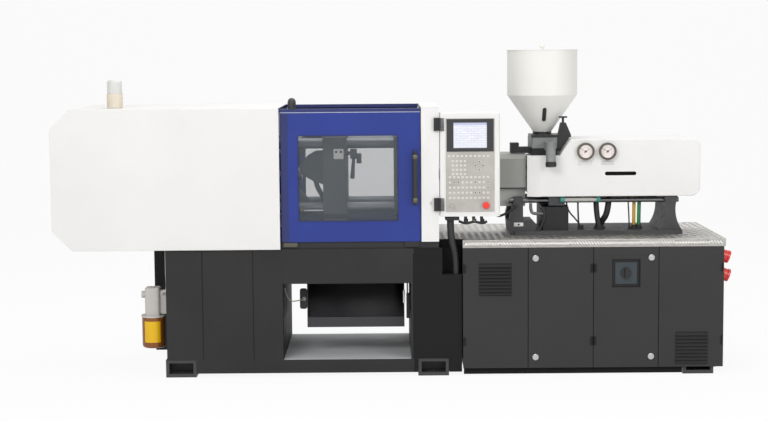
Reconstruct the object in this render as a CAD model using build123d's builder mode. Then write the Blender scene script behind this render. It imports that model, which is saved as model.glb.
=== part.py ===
"""Injection moulding machine with a toggle clamp, a cabinet base and a swinging control box.

Millimetres. +X runs along the machine from the clamp end to the injection end, +Z is up and the
operator stands at -Y. The origin is on the floor, midway between the four outer anchor bolts.
"""
import math
import os

from build123d import *

# Overall chain along the machine
BASE_LENGTH = 1675.0
CABINET_GAP = 5.0
CABINET_LENGTH = 1476.0
HALF_DEPTH = 430.0
BASE_INSET = 15.0
BASE_TOP = 730.0
BASE_CLEARANCE = 22.0
CENTRE_Z = 1130.0

# Shared small sizes
SHEET = 3.0
RUN_CLEARANCE = 0.3
SEAT_CLEARANCE = 1.0
OVERRUN = 50.0

# Box feet and their anchor holes
FOOT_LENGTH = 174.0
FOOT_WIDTH = 120.0
FOOT_HEIGHT = 100.0
FOOT_PLATE = 20.0
FOOT_WALL = 18.0
FOOT_SETBACK = 6.0
ANCHOR_RADIUS = 11.0
FOOT_INSET_LEFT = 78.0
FOOT_INSET_RIGHT = 138.0
FOOT_INSET_MIDDLE = 161.0

# Clamp base
WINDOW_LENGTH = 723.0
WINDOW_RIGHT_MARGIN = 288.0
WINDOW_BOTTOM = 100.0
WINDOW_TOP = 533.0
SHAFT_LENGTH = 498.0
SHAFT_RIGHT_MARGIN = 383.0
SHAFT_HALF_WIDTH = 160.0
SEAM_WIDTH = 6.0
SEAM_DEPTH = 4.0
SEAM_SHARES = (0.122, 0.293)
REAR_POST_REACH = 170.0
REAR_POST_DEPTH = 80.0
SLIDE_RAIL_HEIGHT = 12.0
SLIDE_RAIL_WIDTH = 70.0
SLIDE_RAIL_LENGTH = 620.0
CABLE_NICHE_LENGTH = 110.0
CABLE_NICHE_DEPTH = 90.0
CABLE_NICHE_HEIGHT = 150.0

# Product chute
CHUTE_LENGTH = 560.0
CHUTE_WIDTH = 520.0
CHUTE_HEIGHT = 245.0
CHUTE_OFFSET = 46.0
CHUTE_LIP = 28.0
CHUTE_SLOPE_TOP = 58.0
CHUTE_FLOOR = 4.0

# Grease pump on the left end
LUBE_Y = -300.0
LUBE_OFFSET = 89.0
LUBE_BODY_LENGTH = 86.0
LUBE_BODY_WIDTH = 90.0
LUBE_BODY_HEIGHT = 170.0
LUBE_BODY_BOTTOM = 336.0
LUBE_EDGE = 18.0
LUBE_FLANGE = 10.0
LUBE_CAP_RADIUS = 20.0
LUBE_CAP_LENGTH = 22.0
RESERVOIR_RADIUS = 66.0
RESERVOIR_HEIGHT = 178.0

# White posts beside the fixed platen, and the hinges of the control box
POST_SETBACK = 128.0
POST_WIDTH = 98.0
POST_DEPTH = 100.0
POST_TOP = 1522.0
BOX_HINGE_LENGTH = 73.0
BOX_HINGE_LEAF = 28.0
BOX_HINGE_THICKNESS = 17.0
BOX_HINGE_RADIUS = 6.5
BOX_HINGE_TOP_MARGIN = 28.0
BOX_HINGE_BOTTOM_MARGIN = 32.0

# Sliding doors
DOOR_GAP = 3.0
DOOR_LENGTH = 787.0
DOOR_HEIGHT = 732.0
DOOR_BOTTOM = 770.0
DOOR_INSET = 15.0
DOOR_DEPTH = 35.0
DOOR_SHEET = 3.0
PANE_LENGTH = 556.0
PANE_HEIGHT = 478.0
PANE_RIGHT_MARGIN = 130.0
PANE_BOTTOM_MARGIN = 120.0
PANE_OVERLAP = 12.0
PANE_THICKNESS = 6.0
HANDLE_RIGHT_MARGIN = 33.0
HANDLE_LENGTH = 309.0
HANDLE_BOTTOM_MARGIN = 208.0
HANDLE_RADIUS = 10.0
HANDLE_STAND_RADIUS = 8.0
HANDLE_REACH = 44.0
ROLLER_LENGTH = 79.0
ROLLER_DROP = 30.0
ROLLER_DEPTH = 14.0
ROLLER_MARGIN = 11.0
TRACK_DEPTH = 16.0
TOP_RAIL_DEPTH = 44.0
TOP_RAIL_HEIGHT = 18.0

# White clamp guard
GUARD_GAP = 7.0
GUARD_LENGTH = 1284.0
GUARD_TOP = 1527.0
GUARD_CHAMFER = 112.0
GUARD_FLANGE = 40.0
GUARD_EDGE = 2.0

# Beacon lamp and the cable arch on the guard
BEACON_RADIUS = 46.0
BEACON_OFFSET = 334.0
BEACON_Y = -200.0
BEACON_BASE_HEIGHT = 80.0
BEACON_LENS_HEIGHT = 80.0
BEACON_WAIST = 6.0
ARCH_OFFSET = 65.0
ARCH_RADIUS = 17.0
ARCH_TUBE_RADIUS = 8.0
ARCH_RISE = 38.0

# Platens and tie bars
PLATEN_INSET = 11.0
PLATEN_HALF = 250.0
PLATEN_HALF_WIDTH = 240.0
PLATEN_FOOT_HALF = 200.0
PLATEN_EDGE = 30.0
FIXED_THICKNESS = 140.0
MOVING_THICKNESS = 136.0
REAR_THICKNESS = 130.0
DAYLIGHT = 272.0
TIE_BAR_RADIUS = 30.0
TIE_BAR_SPACING = 370.0
TIE_NUT_RADIUS = 52.0
TIE_NUT_LENGTH = 45.0
LOCATING_RADIUS = 50.0
MOULD_HOLE_SPACING = 210.0
MOULD_HOLE_RADIUS = 6.5
MOULD_HOLE_DEPTH = 30.0
SHOE_WIDTH = 60.0

# Toggle
LINK_LENGTH = 230.0
LINK_RADIUS = 32.0
LINK_HALF_WIDTH = 30.0
LINK_FORK_WIDTH = 28.0
LINK_ANGLE_OPEN = 49.5
PIVOT_OFFSET = 215.0
PIVOT_REACH = 85.0
PIVOT_RADIUS = 25.0
CHEEK_RADIUS = 38.0
ROD_RADIUS = 28.0
CROSSHEAD_HALF_LENGTH = 55.0
CROSSHEAD_HALF_WIDTH = 100.0
CROSSHEAD_HALF_HEIGHT = 48.0
ROD_LENGTH = 560.0
CYLINDER_LENGTH = 640.0
CYLINDER_RADIUS = 92.0
CYLINDER_FLANGE = 40.0
CYLINDER_FLANGE_RADIUS = 130.0

# Ejector
EJECTOR_RADIUS = 15.0
EJECTOR_BOSS_RADIUS = 45.0
EJECTOR_BOSS_LENGTH = 40.0
EJECTOR_PLATE_RADIUS = 38.0
EJECTOR_PLATE_LENGTH = 20.0
EJECTOR_OVERHANG = 150.0
EJECTOR_RECESS = 6.0

# Control box
CONTROL_GAP = 5.0
CONTROL_LENGTH = 338.0
CONTROL_DEPTH = 110.0
CONTROL_PROUD = 10.0
CONTROL_BOTTOM = 912.0
CONTROL_HEIGHT = 583.0
CONTROL_EDGE = 12.0
BOX_HINGE_OFFSET = 3.0
GLAND_PLATE_WIDTH = 60.0
GLAND_LENGTH = 16.0
GLAND_RADIUS = 9.0
GLAND_SHARES = (0.435, 0.568, 0.701)
CONDUIT_GLAND_SHARE = 0.1805
FASCIA_LEFT_MARGIN = 34.0
FASCIA_BOTTOM_MARGIN = 26.0
FASCIA_LENGTH = 273.0
FASCIA_HEIGHT = 524.0
BEZEL_LENGTH = 262.0
BEZEL_HEIGHT = 182.0
SCREEN_LENGTH = 187.0
SCREEN_HEIGHT = 142.0
KEY_LENGTH = 14.0
KEY_HEIGHT = 12.0
ARROW_RADIUS = 22.0
ARROW_COUNT = 4
KEY_FIELD_COUNT = ((10, 1), (4, 4), (10, 5))
KEY_FIELD_SHARES = ((0.465, 0.599, 0.80, 0.05), (0.269, 0.476, 0.245, 0.139), (0.474, 0.262, 0.78, 0.223))
ARROW_FIELD_SHARES = (0.685, 0.496)
STOP_MARGIN = 48.0
STOP_RISE = 37.0
STOP_RADIUS = 20.0
STOP_HEAD = 16.0
STOP_TRAVEL = 6.0
STOP_GAP = 2.0
STOP_STEM_RADIUS = 9.0
STOP_DEPTH = 15.0
KEY_SWITCH_MARGIN = 34.0
KEY_SWITCH_LENGTH = 22.0
KEY_BOW = 20.0

# Cabinet, its doors and what they carry
CABINET_WALL = 4.0
CABINET_RISE = 2.0
CABINET_DOOR_BOTTOM = 44.0
PLINTH_INSET = 12.0
DOOR_SPLIT_SHARE = 0.5
DOOR_HINGE_INSET = 8.0
DOOR_HINGE_PROUD = 3.0
DOOR_HINGE_RADIUS = 6.0
DOOR_HINGE_LENGTH = 46.0
DOOR_HINGE_SHARES = (0.222, 0.827)
VENT_LENGTH = 183.0
VENT_HEIGHT = 180.0
VENT_1_LEFT_MARGIN = 91.0
VENT_1_TOP_MARGIN = 90.0
VENT_4_RIGHT_MARGIN = 89.0
VENT_4_BOTTOM_MARGIN = 20.0
LOUVRE_COUNT = 9
LOUVRE_RISE = 8.0
LOUVRE_SHARE = 0.7
LATCH_EDGE = 42.0
LATCH_MARGIN = 62.0
LATCH_RADIUS = 18.0
LATCH_HEAD = 8.0
LATCH_SHAFT_RADIUS = 8.0
LATCH_LENGTH = 11.0
LATCH_CAM = 26.0
SWITCH_DROP = 150.0
SWITCH_RECESS = 163.0
SWITCH_DEPTH = 9.0
SWITCH_PLATE = 122.0
SWITCH_DIAL = 8.0
SWITCH_RADIUS = 30.0
SWITCH_GRIP = 14.0
SWITCH_SHAFT = 10.0
SWITCH_SHAFT_RADIUS = 8.0
PANEL_MARGIN = 40.0
PANEL_STAND = 15.0
PANEL_DEPTH = 220.0
PANEL_UNIT_SHARES = ((0.04, 0.26, 0.45, 0.50, 1.00), (0.35, 0.26, 0.45, 0.50, 0.85),
                     (0.66, 0.30, 0.62, 0.33, 0.50),
                     (0.66, 0.30, 0.30, 0.26, 0.40), (0.04, 0.57, 0.12, 0.24, 0.45),
                     (0.66, 0.30, 0.06, 0.16, 0.30))
TREAD_OVERHANG = 7.0
TREAD_HEIGHT = 45.0
TREAD_WALL = 4.0
TREAD_EDGE = 5.0
NOTCH_DEPTH = 90.0
SOCKET_Y = -300.0
SOCKET_HIGH = 668.0
SOCKET_LOW = 562.0
SOCKET_SIZE = 92.0
SOCKET_FLANGE = 8.0
SOCKET_RADIUS = 34.0
SOCKET_REACH = 46.0
SOCKET_LID = 12.0
SOCKET_TILT = 20.0

# Injection base and guide rods
INJ_OFFSET = 313.0
INJ_LENGTH = 965.0
INJ_HALF = 210.0
INJ_PLATE = 23.0
SUPPORT_HALF = 190.0
SUPPORT_RISE = 22.0
PEDESTAL_OVERHANG = 30.0
PEDESTAL_KNEE = 89.0
PEDESTAL_TOE = 8.0
PEDESTAL_SHOULDER = 21.0
PEDESTAL_COLUMN = 49.0
PEDESTAL_STEP = 66.0
PEDESTAL_TAIL = 72.0
PEDESTAL_FORK = 118.0
MIDDLE_BLOCK_OFFSET = 162.0
MIDDLE_BLOCK_LENGTH = 148.0
MIDDLE_BLOCK_TOP_GAP = 7.0
REAR_CAST_LENGTH = 128.0
REAR_CAST_WAIST = 24.0
REAR_CAST_RADIUS = 210.0
GUIDE_RADIUS = 14.0
GUIDE_Y = 150.0
GUIDE_RISE = 195.0
GUIDE_PROUD = 10.0

# Injection carriage, barrel and screw
HOUSING_OFFSET = 23.0
HOUSING_LENGTH = 195.0
HOUSING_HALF = 180.0
HOUSING_EDGE = 12.0
LEG_LENGTH = 92.0
LEG_HALF = 28.0
MOTOR_ROD_RADIUS = 18.0
MOTOR_ROD_Y = 110.0
END_PLATE_REACH = 605.0
END_PLATE_LENGTH = 30.0
END_PLATE_HALF = 60.0
BARREL_LENGTH = 695.0
BARREL_SEAT = 120.0
BARREL_RADIUS = 45.0
BAND_COUNT = 5
BAND_START = 120.0
BAND_PITCH = 74.0
BAND_LENGTH = 50.0
BAND_RADIUS = 52.0
NOZZLE_LENGTH = 65.0
NOZZLE_ROOT_RADIUS = 30.0
NOZZLE_TIP_RADIUS = 14.0
SCREW_RADIUS = 17.0
SCREW_TIP = 30.0
MOTOR_GAP = 95.0
YOKE_LENGTH = 70.0
YOKE_MARGIN = 40.0
MOTOR_LENGTH = 190.0
MOTOR_RADIUS = 85.0
GUARD_TUBE_START = 105.0
GUARD_TUBE_GAP = 5.0
TIER_TOP = 1240.0
TIER_SPLIT = 1042.0
TIER_BOTTOM = 937.0
TIER_HALF = 150.0
LOWER_TIER_HALF = 110.0
TIER_SLOPE = 25.0

# Injection cover and gauges
COVER_OFFSET = 385.0
COVER_LENGTH = 995.0
COVER_HALF = 200.0
COVER_BOTTOM = 997.0
COVER_TOP = 1327.0
COVER_STEP_TOP = 1234.0
COVER_STEP_LENGTH = 187.0
COVER_SLOPE_LENGTH = 63.0
COVER_RADIUS = 55.0
COVER_EDGE = 6.0
COVER_BEVEL_LENGTH = 73.0
COVER_BEVEL_DEPTH = 24.0
SLOT_OFFSET = 536.0
SLOT_Z = 1129.0
SLOT_LENGTH = 181.0
SLOT_HEIGHT = 22.0
GAUGE_OFFSET = 333.0
GAUGE_PITCH = 126.0
GAUGE_Z = 1258.0
GAUGE_RADIUS = 50.0
GAUGE_DEPTH = 26.0
GAUGE_RIM = 6.0
GAUGE_NEEDLE_TURN = -60.0

# Hopper and its bed
HOPPER_OFFSET = 103.0
FEED_RADIUS = 28.0
BED_HALF = 75.0
BED_FRONT = -150.0
BED_BACK = 110.0
BED_TOP = 1335.0
SPOUT_OFFSET = 26.0
SPOUT_RADIUS = 28.0
SPOUT_LENGTH = 118.0
SPOUT_TILT = 12.0
SPOUT_GAP = 10.0
SPOUT_CAP = 22.0
NOSE_HEIGHT = 48.0
NOSE_DROP = 20.0
ARM_REACH = 118.0
ARM_FRONT = -118.0
ARM_BACK = -38.0
ARM_RISE = 6.0
ARM_HEIGHT = 34.0
ARM_HEAD = 48.0
ARM_HEAD_HEIGHT = 58.0
PLATE_THICKNESS = 15.0
HOPPER_RADIUS = 204.0
HOPPER_NECK_RADIUS = 55.0
CONE_BOTTOM = 1367.0
CONE_TOP = 1579.0
RIM_Z = 1836.0
SCREW_BLOCK_OFFSET = 110.0
SCREW_BLOCK_Y = -110.0
SCREW_BLOCK_HALF = 20.0
SCREW_BLOCK_HEIGHT = 70.0
SCREW_BLOCK_LEFT = 31.0
SCREW_BLOCK_RIGHT = 45.0
SCREW_BLOCK_CROWN = 15.0
SCREW_BLOCK_DROP = 12.0
SCREW_BLOCK_GAP = 8.0
CLAMP_SCREW_RADIUS = 7.0
CLAMP_DEPTH_SHARE = 0.6
CLAMP_RISE = 32.0
CLAMP_BAR_RADIUS = 5.0
CLAMP_BAR_HALF = 24.0
LID_THICKNESS = 5.0
LID_RIM = 8.0
LID_CLEARANCE = 1.0
KNOB_RADIUS = 16.0
KNOB_TOP = 1868.0
KNOB_CROWN_SHARE = 0.8

# Conduit from the control box into the cable niche of the base, by hand
CONDUIT_RADIUS = 20.0
CONDUIT_RUN_SHARE = 0.45
CONDUIT_ROUTE = ((65.0, -385.0, 893.0), (65.0, -385.0, 790.0), (97.0, -381.0, 680.0), (97.0, -381.0, 580.0))

# Derived places along X
MACHINE_LENGTH = BASE_LENGTH + CABINET_GAP + CABINET_LENGTH
ANCHOR_SPAN = MACHINE_LENGTH - FOOT_INSET_LEFT - FOOT_INSET_RIGHT
BASE_LEFT = -ANCHOR_SPAN / 2 - FOOT_INSET_LEFT
BASE_RIGHT = BASE_LEFT + BASE_LENGTH
CABINET_LEFT = BASE_RIGHT + CABINET_GAP
CABINET_RIGHT = CABINET_LEFT + CABINET_LENGTH
MIDDLE_FOOT_X = BASE_RIGHT - FOOT_INSET_MIDDLE
BASE_HALF = HALF_DEPTH - BASE_INSET
FOOT_FACE = BASE_HALF - FOOT_SETBACK
ANCHOR_Y = FOOT_FACE - FOOT_WIDTH / 2
POST_RIGHT = BASE_RIGHT - POST_SETBACK
POST_LEFT = POST_RIGHT - POST_WIDTH
CABINET_TOP = BASE_TOP + CABINET_RISE
PARTITION_X = (CABINET_LEFT + CABINET_RIGHT) / 2
DOOR_SPLIT = DOOR_SPLIT_SHARE * (PARTITION_X - CABINET_LEFT)
SWITCH_X = PARTITION_X + DOOR_SPLIT / 2
SWITCH_Z = CABINET_TOP - SWITCH_DROP
CONTROL_LEFT = POST_RIGHT + CONTROL_GAP
CONTROL_RIGHT = CONTROL_LEFT + CONTROL_LENGTH
CONTROL_TOP = CONTROL_BOTTOM + CONTROL_HEIGHT
CONTROL_FRONT = -HALF_DEPTH - CONTROL_PROUD
FASCIA_LEFT = CONTROL_LEFT + FASCIA_LEFT_MARGIN
FASCIA_RIGHT = FASCIA_LEFT + FASCIA_LENGTH
FASCIA_LOW = CONTROL_BOTTOM + FASCIA_BOTTOM_MARGIN
FASCIA_HIGH = FASCIA_LOW + FASCIA_HEIGHT
STOP_X = FASCIA_RIGHT - STOP_MARGIN
STOP_Z = FASCIA_LOW + STOP_RISE
KEY_SWITCH_X = FASCIA_LEFT + KEY_SWITCH_MARGIN
DOOR_RIGHT = POST_LEFT - DOOR_GAP
DOOR_LEFT = DOOR_RIGHT - DOOR_LENGTH
DOOR_TOP = DOOR_BOTTOM + DOOR_HEIGHT
DOOR_FRONT = -HALF_DEPTH + DOOR_INSET
TRACK_TOP = DOOR_BOTTOM - RUN_CLEARANCE
GUARD_RIGHT = DOOR_LEFT - GUARD_GAP
GUARD_LEFT = GUARD_RIGHT - GUARD_LENGTH
FIXED_RIGHT = POST_LEFT - PLATEN_INSET
FIXED_LEFT = FIXED_RIGHT - FIXED_THICKNESS
MOVING_RIGHT = FIXED_LEFT - DAYLIGHT
MOVING_LEFT = MOVING_RIGHT - MOVING_THICKNESS
FRONT_PIVOT_X = MOVING_LEFT - PIVOT_REACH
LINK_RUN = LINK_LENGTH * math.cos(math.radians(LINK_ANGLE_OPEN))
LINK_DROP = LINK_LENGTH * math.sin(math.radians(LINK_ANGLE_OPEN))
ELBOW_X = FRONT_PIVOT_X - LINK_RUN
REAR_PIVOT_X = ELBOW_X - LINK_RUN
REAR_RIGHT = REAR_PIVOT_X - PIVOT_REACH
REAR_LEFT = REAR_RIGHT - REAR_THICKNESS
PLATEN_BOTTOM = CENTRE_Z - PLATEN_HALF
SLIDE_RAIL_Y = TIE_BAR_SPACING / 2 + SHOE_WIDTH / 2 - TIE_BAR_RADIUS / 2
CYLINDER_LEFT = REAR_LEFT - CYLINDER_LENGTH
TREAD_TOP = CABINET_TOP + TREAD_HEIGHT
INJ_LEFT = CABINET_LEFT + INJ_OFFSET
INJ_RIGHT = INJ_LEFT + INJ_LENGTH
INJ_TOP = TREAD_TOP + INJ_PLATE
PEDESTAL_LEFT = INJ_LEFT - PEDESTAL_OVERHANG
MIDDLE_BLOCK_LEFT = INJ_LEFT + MIDDLE_BLOCK_OFFSET
GUIDE_Z = TREAD_TOP + GUIDE_RISE
SUPPORT_TOP = GUIDE_Z + SUPPORT_RISE
COVER_LEFT = CABINET_LEFT + COVER_OFFSET
COVER_RIGHT = COVER_LEFT + COVER_LENGTH
SLOT_X = COVER_LEFT + SLOT_OFFSET
GAUGE_X = COVER_LEFT + GAUGE_OFFSET
HOUSING_LEFT = COVER_LEFT + HOUSING_OFFSET
HOUSING_RIGHT = HOUSING_LEFT + HOUSING_LENGTH
HOUSING_BOTTOM = SUPPORT_TOP + CABINET_WALL
HOUSING_TOP = COVER_STEP_TOP - SHEET
END_PLATE_RIGHT = HOUSING_RIGHT + END_PLATE_REACH
BARREL_RIGHT = HOUSING_LEFT + BARREL_SEAT
BARREL_LEFT = BARREL_RIGHT - BARREL_LENGTH
SCREW_LEFT = BARREL_LEFT + SCREW_TIP
MOTOR_LEFT = HOUSING_RIGHT + MOTOR_GAP
GUARD_TUBE_LEFT = BARREL_LEFT + GUARD_TUBE_START
GUARD_TUBE_LENGTH = COVER_LEFT - GUARD_TUBE_GAP - GUARD_TUBE_LEFT
HOPPER_X = COVER_LEFT + HOPPER_OFFSET
BED_LEFT = HOPPER_X - BED_HALF
BED_RIGHT = HOPPER_X + BED_HALF
SPOUT_X = HOPPER_X + SPOUT_OFFSET
SPOUT_Y = -COVER_HALF - SPOUT_GAP - SPOUT_RADIUS
NOSE_TOP = BED_TOP - NOSE_DROP
PLATE_BOTTOM = BED_TOP + RUN_CLEARANCE
PLATE_TOP = PLATE_BOTTOM + PLATE_THICKNESS
SCREW_BLOCK_X = HOPPER_X + SCREW_BLOCK_OFFSET

TURN_TO = {"X": (0, 90, 0), "Y": (-90, 0, 0), "Z": (0, 0, 0)}

os.makedirs("parts", exist_ok=True)


def block(x0, x1, y0, y1, z0, z1, mode=Mode.ADD):
    """Add or cut a box given by its limits along X, Y and Z."""
    with Locations(((x0 + x1) / 2, (y0 + y1) / 2, (z0 + z1) / 2)):
        Box(abs(x1 - x0), abs(y1 - y0), abs(z1 - z0), mode=mode)


def bar(axis, x, y, z, radius, length, mode=Mode.ADD):
    """Add or cut a round bar along X, Y or Z about its centre."""
    with Locations((x, y, z)):
        Cylinder(radius, length, rotation=TURN_TO[axis], mode=mode)


def front_plane(y):
    """Plane across the machine at depth y, drawn as the operator sees it, facing the operator."""
    return Plane(origin=(0, y, 0), x_dir=(1, 0, 0), z_dir=(0, -1, 0))


def save(piece, name):
    """Label a finished piece and write it as its own STEP file."""
    piece.part.label = name
    export_step(piece.part, f"parts/{name}.step")


# Clamp base: welded box with the drop window, the drop shaft and the strips the platen slides on
with BuildPart() as clamp_base:
    block(BASE_LEFT, BASE_RIGHT, -BASE_HALF, BASE_HALF, BASE_CLEARANCE, BASE_TOP)
    block(BASE_LEFT - REAR_POST_REACH, BASE_LEFT, BASE_HALF - REAR_POST_DEPTH, BASE_HALF,
          BASE_CLEARANCE, BASE_TOP)
    window_right = BASE_RIGHT - WINDOW_RIGHT_MARGIN
    window_left = window_right - WINDOW_LENGTH
    block(window_left, window_right, -HALF_DEPTH, HALF_DEPTH, WINDOW_BOTTOM, WINDOW_TOP, Mode.SUBTRACT)
    shaft_right = BASE_RIGHT - SHAFT_RIGHT_MARGIN
    block(shaft_right - SHAFT_LENGTH, shaft_right, -SHAFT_HALF_WIDTH, SHAFT_HALF_WIDTH,
          WINDOW_TOP - OVERRUN, BASE_TOP + OVERRUN, Mode.SUBTRACT)
    for share in SEAM_SHARES:
        seam_x = BASE_LEFT + BASE_LENGTH * share
        block(seam_x, seam_x + SEAM_WIDTH, -BASE_HALF, -BASE_HALF + SEAM_DEPTH,
              FOOT_HEIGHT, BASE_TOP, Mode.SUBTRACT)
    block(BASE_RIGHT - CABLE_NICHE_LENGTH, BASE_RIGHT, -BASE_HALF, -BASE_HALF + CABLE_NICHE_DEPTH,
          BASE_TOP - CABLE_NICHE_HEIGHT, BASE_TOP, Mode.SUBTRACT)
    for side in (-1, 1):
        block(FIXED_LEFT - SLIDE_RAIL_LENGTH, FIXED_LEFT, side * (SLIDE_RAIL_Y - SLIDE_RAIL_WIDTH / 2),
              side * (SLIDE_RAIL_Y + SLIDE_RAIL_WIDTH / 2), BASE_TOP, BASE_TOP + SLIDE_RAIL_HEIGHT)
        for foot_x in (BASE_LEFT + FOOT_INSET_LEFT, MIDDLE_FOOT_X):
            reach = FOOT_LENGTH / 2 + SEAT_CLEARANCE
            block(foot_x - reach, foot_x + reach, side * (FOOT_FACE - FOOT_WIDTH - SEAT_CLEARANCE),
                  side * HALF_DEPTH, 0, FOOT_HEIGHT, Mode.SUBTRACT)
save(clamp_base, "clamp_base")

# Six box feet, open to the side, each with one anchor hole
with BuildPart() as feet:
    for foot_x in (-ANCHOR_SPAN / 2, MIDDLE_FOOT_X, ANCHOR_SPAN / 2):
        for side in (-1, 1):
            foot_y = side * ANCHOR_Y
            half = FOOT_LENGTH / 2
            block(foot_x - half, foot_x + half, foot_y - FOOT_WIDTH / 2, foot_y + FOOT_WIDTH / 2,
                  0, FOOT_HEIGHT)
            block(foot_x - half + FOOT_WALL, foot_x + half - FOOT_WALL,
                  foot_y - side * (FOOT_WIDTH / 2 - FOOT_WALL), foot_y + side * (FOOT_WIDTH / 2 + OVERRUN),
                  FOOT_PLATE, FOOT_HEIGHT - FOOT_WALL, Mode.SUBTRACT)
            bar("Z", foot_x, foot_y, FOOT_PLATE / 2, ANCHOR_RADIUS, FOOT_PLATE + SHEET, Mode.SUBTRACT)
save(feet, "feet")

# Product chute: open-fronted scoop under the drop shaft, its floor sloping towards the operator
with BuildPart() as drop_chute:
    chute_left = (window_left + window_right - CHUTE_LENGTH) / 2 + CHUTE_OFFSET
    chute_half = CHUTE_WIDTH / 2
    chute_low = WINDOW_TOP - CHUTE_HEIGHT
    slope_low = chute_low + CHUTE_LIP
    slope_high = WINDOW_TOP - CHUTE_SLOPE_TOP
    block(chute_left, chute_left + CHUTE_LENGTH, -chute_half, chute_half, chute_low, WINDOW_TOP)
    with BuildSketch(Plane.YZ.offset(chute_left + SHEET)):
        with BuildLine():
            Polyline((-chute_half - OVERRUN, slope_low), (-chute_half + SHEET, slope_low),
                     (chute_half - SHEET, slope_high), (chute_half - SHEET, WINDOW_TOP + OVERRUN),
                     (-chute_half - OVERRUN, WINDOW_TOP + OVERRUN), close=True)
        make_face()
        with BuildLine():
            Polyline((-chute_half + SHEET, chute_low - OVERRUN),
                     (-chute_half + SHEET, slope_low - CHUTE_FLOOR),
                     (chute_half - SHEET, slope_high - CHUTE_FLOOR),
                     (chute_half - SHEET, chute_low - OVERRUN),
                     close=True)
        make_face()
    extrude(amount=CHUTE_LENGTH - 2 * SHEET, mode=Mode.SUBTRACT)
save(drop_chute, "drop_chute")

# Grease pump: rounded body on a bracket, with its filler cap on the outer side
lube_x = BASE_LEFT - LUBE_OFFSET
lube_top = LUBE_BODY_BOTTOM + LUBE_BODY_HEIGHT
with BuildPart() as lube_pump:
    block(lube_x - LUBE_BODY_LENGTH / 2, lube_x + LUBE_BODY_LENGTH / 2, LUBE_Y - LUBE_BODY_WIDTH / 2,
          LUBE_Y + LUBE_BODY_WIDTH / 2, LUBE_BODY_BOTTOM, lube_top)
    fillet(lube_pump.edges().filter_by(Axis.Z), LUBE_EDGE)
    fillet(lube_pump.edges().group_by(Axis.Z)[-1], LUBE_EDGE / 2)
    block(lube_x, BASE_LEFT, LUBE_Y - LUBE_BODY_WIDTH / 4, LUBE_Y + LUBE_BODY_WIDTH / 4,
          LUBE_BODY_BOTTOM + LUBE_EDGE, lube_top - LUBE_EDGE)
    bar("Z", lube_x, LUBE_Y, LUBE_BODY_BOTTOM + LUBE_FLANGE / 2, RESERVOIR_RADIUS + SHEET, LUBE_FLANGE)
    bar("X", lube_x - LUBE_BODY_LENGTH / 2 - LUBE_CAP_LENGTH / 2, LUBE_Y, lube_top - LUBE_BODY_HEIGHT / 4,
        LUBE_CAP_RADIUS, LUBE_CAP_LENGTH)
save(lube_pump, "lube_pump")

# Clear grease reservoir under the pump: a turned cup with a rounded floor
with BuildPart() as lube_reservoir:
    bar("Z", lube_x, LUBE_Y, LUBE_BODY_BOTTOM - RESERVOIR_HEIGHT / 2, RESERVOIR_RADIUS, RESERVOIR_HEIGHT)
    fillet(lube_reservoir.edges().group_by(Axis.Z)[0], LUBE_EDGE)
    offset(amount=-SHEET, openings=lube_reservoir.faces().sort_by(Axis.Z)[-1])
save(lube_reservoir, "lube_reservoir")

# Rear platen: carries the cylinder, the rear pivots of the toggle and the nuts of the tie bars
with BuildPart() as rear_platen:
    block(REAR_LEFT, REAR_RIGHT, -PLATEN_HALF_WIDTH, PLATEN_HALF_WIDTH, PLATEN_BOTTOM,
          CENTRE_Z + PLATEN_HALF)
    chamfer(rear_platen.edges().filter_by(Axis.X), PLATEN_EDGE)
    block(REAR_LEFT, REAR_RIGHT, -PLATEN_FOOT_HALF, PLATEN_FOOT_HALF, BASE_TOP, PLATEN_BOTTOM)
    for side in (-1, 1):
        pivot_z = CENTRE_Z + side * PIVOT_OFFSET
        for cheek in (-1, 1):
            inner = cheek * (LINK_HALF_WIDTH + SEAT_CLEARANCE)
            outer = cheek * (LINK_HALF_WIDTH + SEAT_CLEARANCE + LINK_FORK_WIDTH)
            block(REAR_RIGHT, REAR_PIVOT_X, inner, outer, pivot_z - CHEEK_RADIUS, pivot_z + CHEEK_RADIUS)
            bar("Y", REAR_PIVOT_X, (inner + outer) / 2, pivot_z, CHEEK_RADIUS, LINK_FORK_WIDTH)
        bar("Y", REAR_PIVOT_X, 0, pivot_z, PIVOT_RADIUS, 2 * (LINK_HALF_WIDTH + LINK_FORK_WIDTH))
    with Locations(((REAR_LEFT + REAR_RIGHT) / 2, 0, CENTRE_Z)):
        with GridLocations(0, TIE_BAR_SPACING, 1, 2):
            for side in (-1, 1):
                with Locations((0, 0, side * TIE_BAR_SPACING / 2)):
                    Cylinder(TIE_BAR_RADIUS + RUN_CLEARANCE, 2 * REAR_THICKNESS, rotation=TURN_TO["X"],
                             mode=Mode.SUBTRACT)
    bar("X", REAR_RIGHT, 0, CENTRE_Z, ROD_RADIUS + RUN_CLEARANCE, 2 * REAR_THICKNESS + OVERRUN,
        Mode.SUBTRACT)
save(rear_platen, "rear_platen")

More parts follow.
